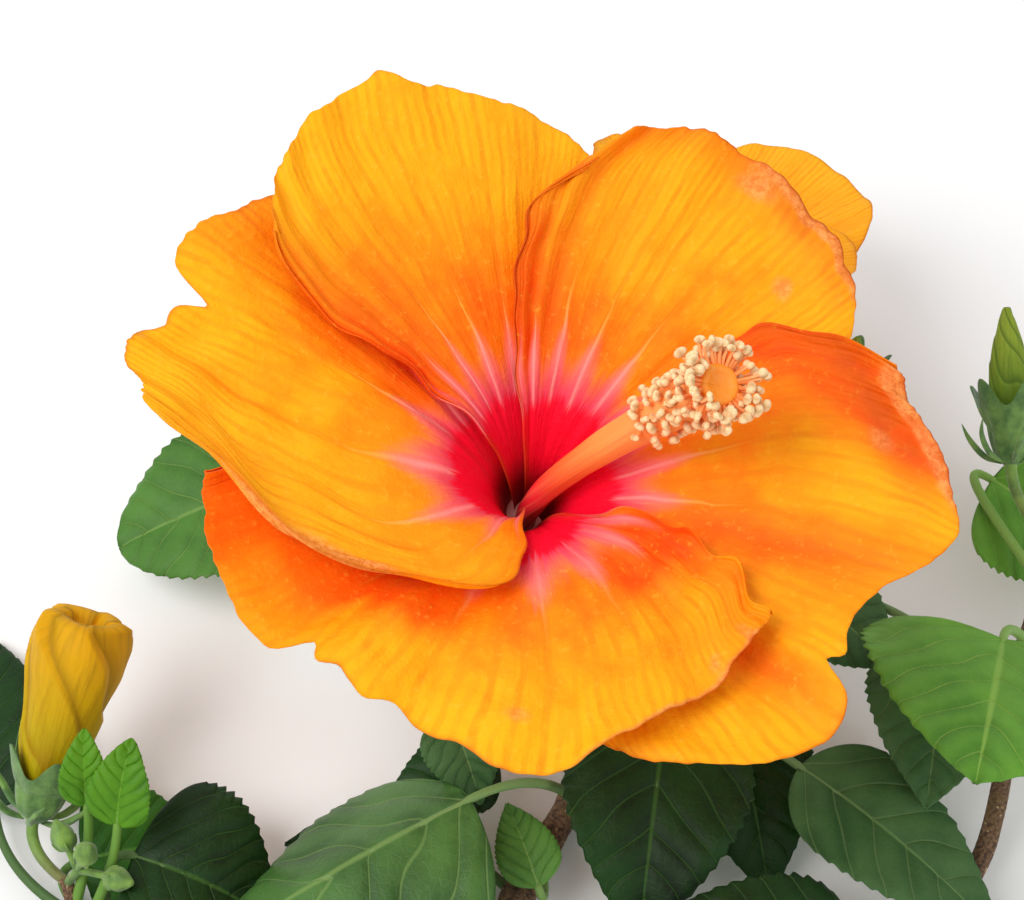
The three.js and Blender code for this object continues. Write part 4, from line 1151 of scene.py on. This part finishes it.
BUDS = {
    "rolled_bud": {
        "length": 35, "radius": 8.2,
        "outline": [0.42, 0.6, 0.76, 0.88, 0.95, 1.02, 1.12, 1.14, 0.9],
        "twist": 0.4, "fold": 0.16, "skin": ((176, 158, 2), (213, 158, 0), (160, 120, 0)),
    },
    "right_bud": {
        "length": 24, "radius": 4,
        "outline": [0.6, 0.85, 1, 1, 0.92, 0.75, 0.5, 0.22],
        "twist": 0.8, "fold": 0.1, "skin": ((96, 128, 30), (138, 156, 48), (72, 100, 24)),
    },
    "side_bud": {
        "length": 10, "radius": 2.9,
        "outline": [0.6, 0.9, 1, 1, 0.85, 0.55, 0.2],
        "twist": 0.6, "fold": 0.1, "skin": ((96, 128, 34), (140, 156, 52), (72, 100, 24)),
    },
}
# The turned-in tip's profile, in shares of the radius across and quarters of it along.
BUD_TIP = np.array([(0.8, 0.35), (0.55, 0.2), (0.45, -0.5), (0.36, -1.2), (0.24, -0.6), (0.05, -0.9)])


def bud_shape(foot, way, bud):
    """A rod of the outline's thickness with five saw-tooth folds that wind round it by twist
    turns. At the tip the profile turns in and down over a few rings, and the folds frill it."""
    way = unit(way)
    length = bud["length"]
    rings, sides = 110, 120
    share = np.linspace(0, 1, rings)[:, None]
    turn = np.linspace(0, 1, sides, endpoint=False)[None, :]
    winding = (5 * turn + 5 * bud["twist"] * share + 0.2 * wander(share * 2, turn, 4)) % 1
    saw = np.where(winding < 0.86, winding / 0.86, (1 - winding) / 0.14) - 0.5
    radius = bud["radius"] * through(bud["outline"], share)
    open_tip = step((share - 0.75) / 0.25)
    radius = radius * (1 + bud["fold"] * saw * (0.6 + 1.2 * open_tip))
    frill = bud["fold"] * 0.25 * open_tip * wander(share, turn, 7)
    radius = radius * (1 + 0.025 * wander(share * 3, turn, 6) + frill)
    path = np.array(foot) - 0.7 * way + (length + 0.7) * share * way
    path = np.vstack([path, path[-1] + way * BUD_TIP[:, 1:] * bud["radius"] / 4])
    radius = np.vstack([radius, radius[-1:] * BUD_TIP[:, :1]])
    along = np.vstack([share, np.ones((len(BUD_TIP), 1))]) + 0 * turn
    uv = np.stack([turn + 0 * along, along], -1)
    uv = np.vstack([uv.reshape(-1, 2), [[0, 0], [0, 1]]])
    groove = np.vstack([0.5 - saw, np.repeat(0.5 - saw[-1:], len(BUD_TIP), 0)]) ** 3
    return tube(path, radius, sides, np.tile(way, (len(path), 1))), uv, np.append(groove, [0, 1])


def bud_material(name, low, high, shade):
    """Limp petal skin, greener or duller at the foot, with fine lines along it and deep shade in
    the folds."""
    material, tree, shader = start_material(name, 0.65)
    shader.inputs["Specular IOR Level"].default_value = 0.2
    uv = node(tree, "UVMap", uv_map="UVMap")
    where = node(tree, "TexCoord", out=3)
    _, along = split(tree, uv)
    lines = grain(tree, uv, 36, 3, 4.0)
    tone = mix(tree, fade(tree, along, 0.1, 0.95), colour(*low), colour(*high))
    tone = mix(tree, fade(tree, lines, 0.42, 0.75, 0.0, 0.55), tone, colour(*shade))
    tone = mix(tree, fade(tree, noise(tree, where, 180.0), 0.5, 0.8, 0.0, 0.4), tone, colour(*high))
    tone = mix(tree, fade(tree, painted(tree, "groove"), 0.1, 1.0, 0.0, 0.8), tone, colour(*shade))
    coat(tree, shader, tone, lines, 0.0005, 0.6)
    return material


for name, bud in BUDS.items():
    shape, uv, groove = bud_shape(*FLOWERS[name][:2], bud)
    make_piece(name, shape, bud_material(name, *bud["skin"]), "bud", [name], uv=uv, groove=groove)

# ---------------------------------------------------------------- flower buds in the young tuft
# Three tiny green buds on one forked stalk at the tip of the left shoot, each an egg in its
# closed calyx, with a few bristle-like bracts round its foot.

EGG_RADIUS = 2.3
EGG_OUTLINE = [0.3, 0.85, 1, 0.7, 0.2]
TWIG_RADIUS = 0.9
SMALL_TIPS = np.array([(-85.0, -56, 22), (-80, -60, 23), (-74, -64, 20)])
BRISTLES = 5

start = on_shoot("left_shoot", 0.985)
fork = SMALL_TIPS.mean(0) + 0.45 * (start - SMALL_TIPS.mean(0))
side_start = fork + 0.1 * (start - fork)
parts = [tube(np.linspace(start, fork, 12), np.full(12, TWIG_RADIUS), 14)]
share = np.linspace(0, 1, 26)[:, None]
turn = np.linspace(0, 1, 40, endpoint=False)[None, :]
ribs = 1 + 0.05 * np.cos(2 * np.pi * 5 * turn) * np.sin(np.pi * share)
egg = EGG_RADIUS * through(EGG_OUTLINE, share) * ribs
for tip in SMALL_TIPS:
    away = unit(tip - fork)
    stalk = arc(side_start, (side_start + tip) / 2 + (0, 0, 0.8), tip - away * EGG_RADIUS, 12)
    parts.append(tube(stalk, np.full(12, 0.8 * TWIG_RADIUS), 12))
    parts.append(tube(tip + away * EGG_RADIUS * (3 * share - 1.5), egg, 40))
    side = unit(np.cross(away, STEADY))
    third = np.cross(away, side)
    for k in range(BRISTLES):
        angle = 2 * np.pi * (k + 0.25) / BRISTLES
        out = np.cos(angle) * side + np.sin(angle) * third
        base = tip - away * EGG_RADIUS * 1.2
        bristle = arc(base + out * 0.4, base + out * 2.2, base + out * 2.5 + away * 2.4, 10)
        parts.append(tube(bristle, np.linspace(0.4, 0.12, 10), 8))
shape = joined(parts)
make_piece("small_buds", shape, stalk_material(), "green", ["small_buds"], low=np.zeros(len(shape[0])))

# ---------------------------------------------------------------- studio
# A white sweep under soft, even light, seen from above and in front.

ELEVATION = np.radians(58)
DISTANCE = 430
LENS, SENSOR_WIDTH = 82, 36
TARGET = np.array([0.0, 0.0, 70.0])
SKY_STRENGTH = 0.62
# Each lamp: its place, size and power.
LAMPS = {
    "key": ((-0.45, -0.15, 0.75), 0.5, 4.6),
    "fill": ((0.7, -0.5, 0.6), 0.9, 1.8),
    "back": ((0.1, 0.8, 0.6), 0.7, 1.6),
}
BACK = np.array([0.0, -np.cos(ELEVATION), np.sin(ELEVATION)])

floor_mesh = bpy.data.meshes.new("floor")
floor_mesh.from_pydata([(-4, -4, 0), (4, -4, 0), (4, 4, 0), (-4, 4, 0)], [], [(0, 1, 2, 3)])
floor = bpy.data.objects.new("floor", floor_mesh)
bpy.context.scene.collection.objects.link(floor)
paper, tree, shader = start_material("paper", 0.9)
shader.inputs["Base Color"].default_value = colour(246, 246, 246)
floor_mesh.materials.append(paper)

world = bpy.data.worlds.new("studio")
bpy.context.scene.world = world
world.use_nodes = True
world.node_tree.nodes["Background"].inputs[0].default_value = (1, 1, 1, 1)
world.node_tree.nodes["Background"].inputs[1].default_value = SKY_STRENGTH


def soft_light(name, place, size, power):
    """A square lamp of that size at place, aimed at the bloom."""
    data = bpy.data.lights.new(name, "AREA")
    data.shape = "SQUARE"
    data.size = size
    data.energy = power
    lamp = bpy.data.objects.new(name, data)
    lamp.location = place
    aim = np.array([0, 0, 0.05]) - place
    flat = np.hypot(aim[0], aim[1])
    lamp.rotation_euler = (np.arctan2(flat, -aim[2]), 0, np.arctan2(aim[1], aim[0]) - np.pi / 2)
    bpy.context.scene.collection.objects.link(lamp)


for name, lamp in LAMPS.items():
    soft_light(name, *lamp)

lens = bpy.data.cameras.new("camera")
lens.lens = LENS
lens.sensor_width = SENSOR_WIDTH
lens.clip_start = 0.01
camera = bpy.data.objects.new("camera", lens)
camera.location = (TARGET + DISTANCE * BACK - MIDDLE) * MM
camera.rotation_euler = (np.pi / 2 - ELEVATION, 0, 0)
bpy.context.scene.collection.objects.link(camera)
bpy.context.scene.camera = camera
bpy.context.scene.view_settings.view_transform = "Standard"
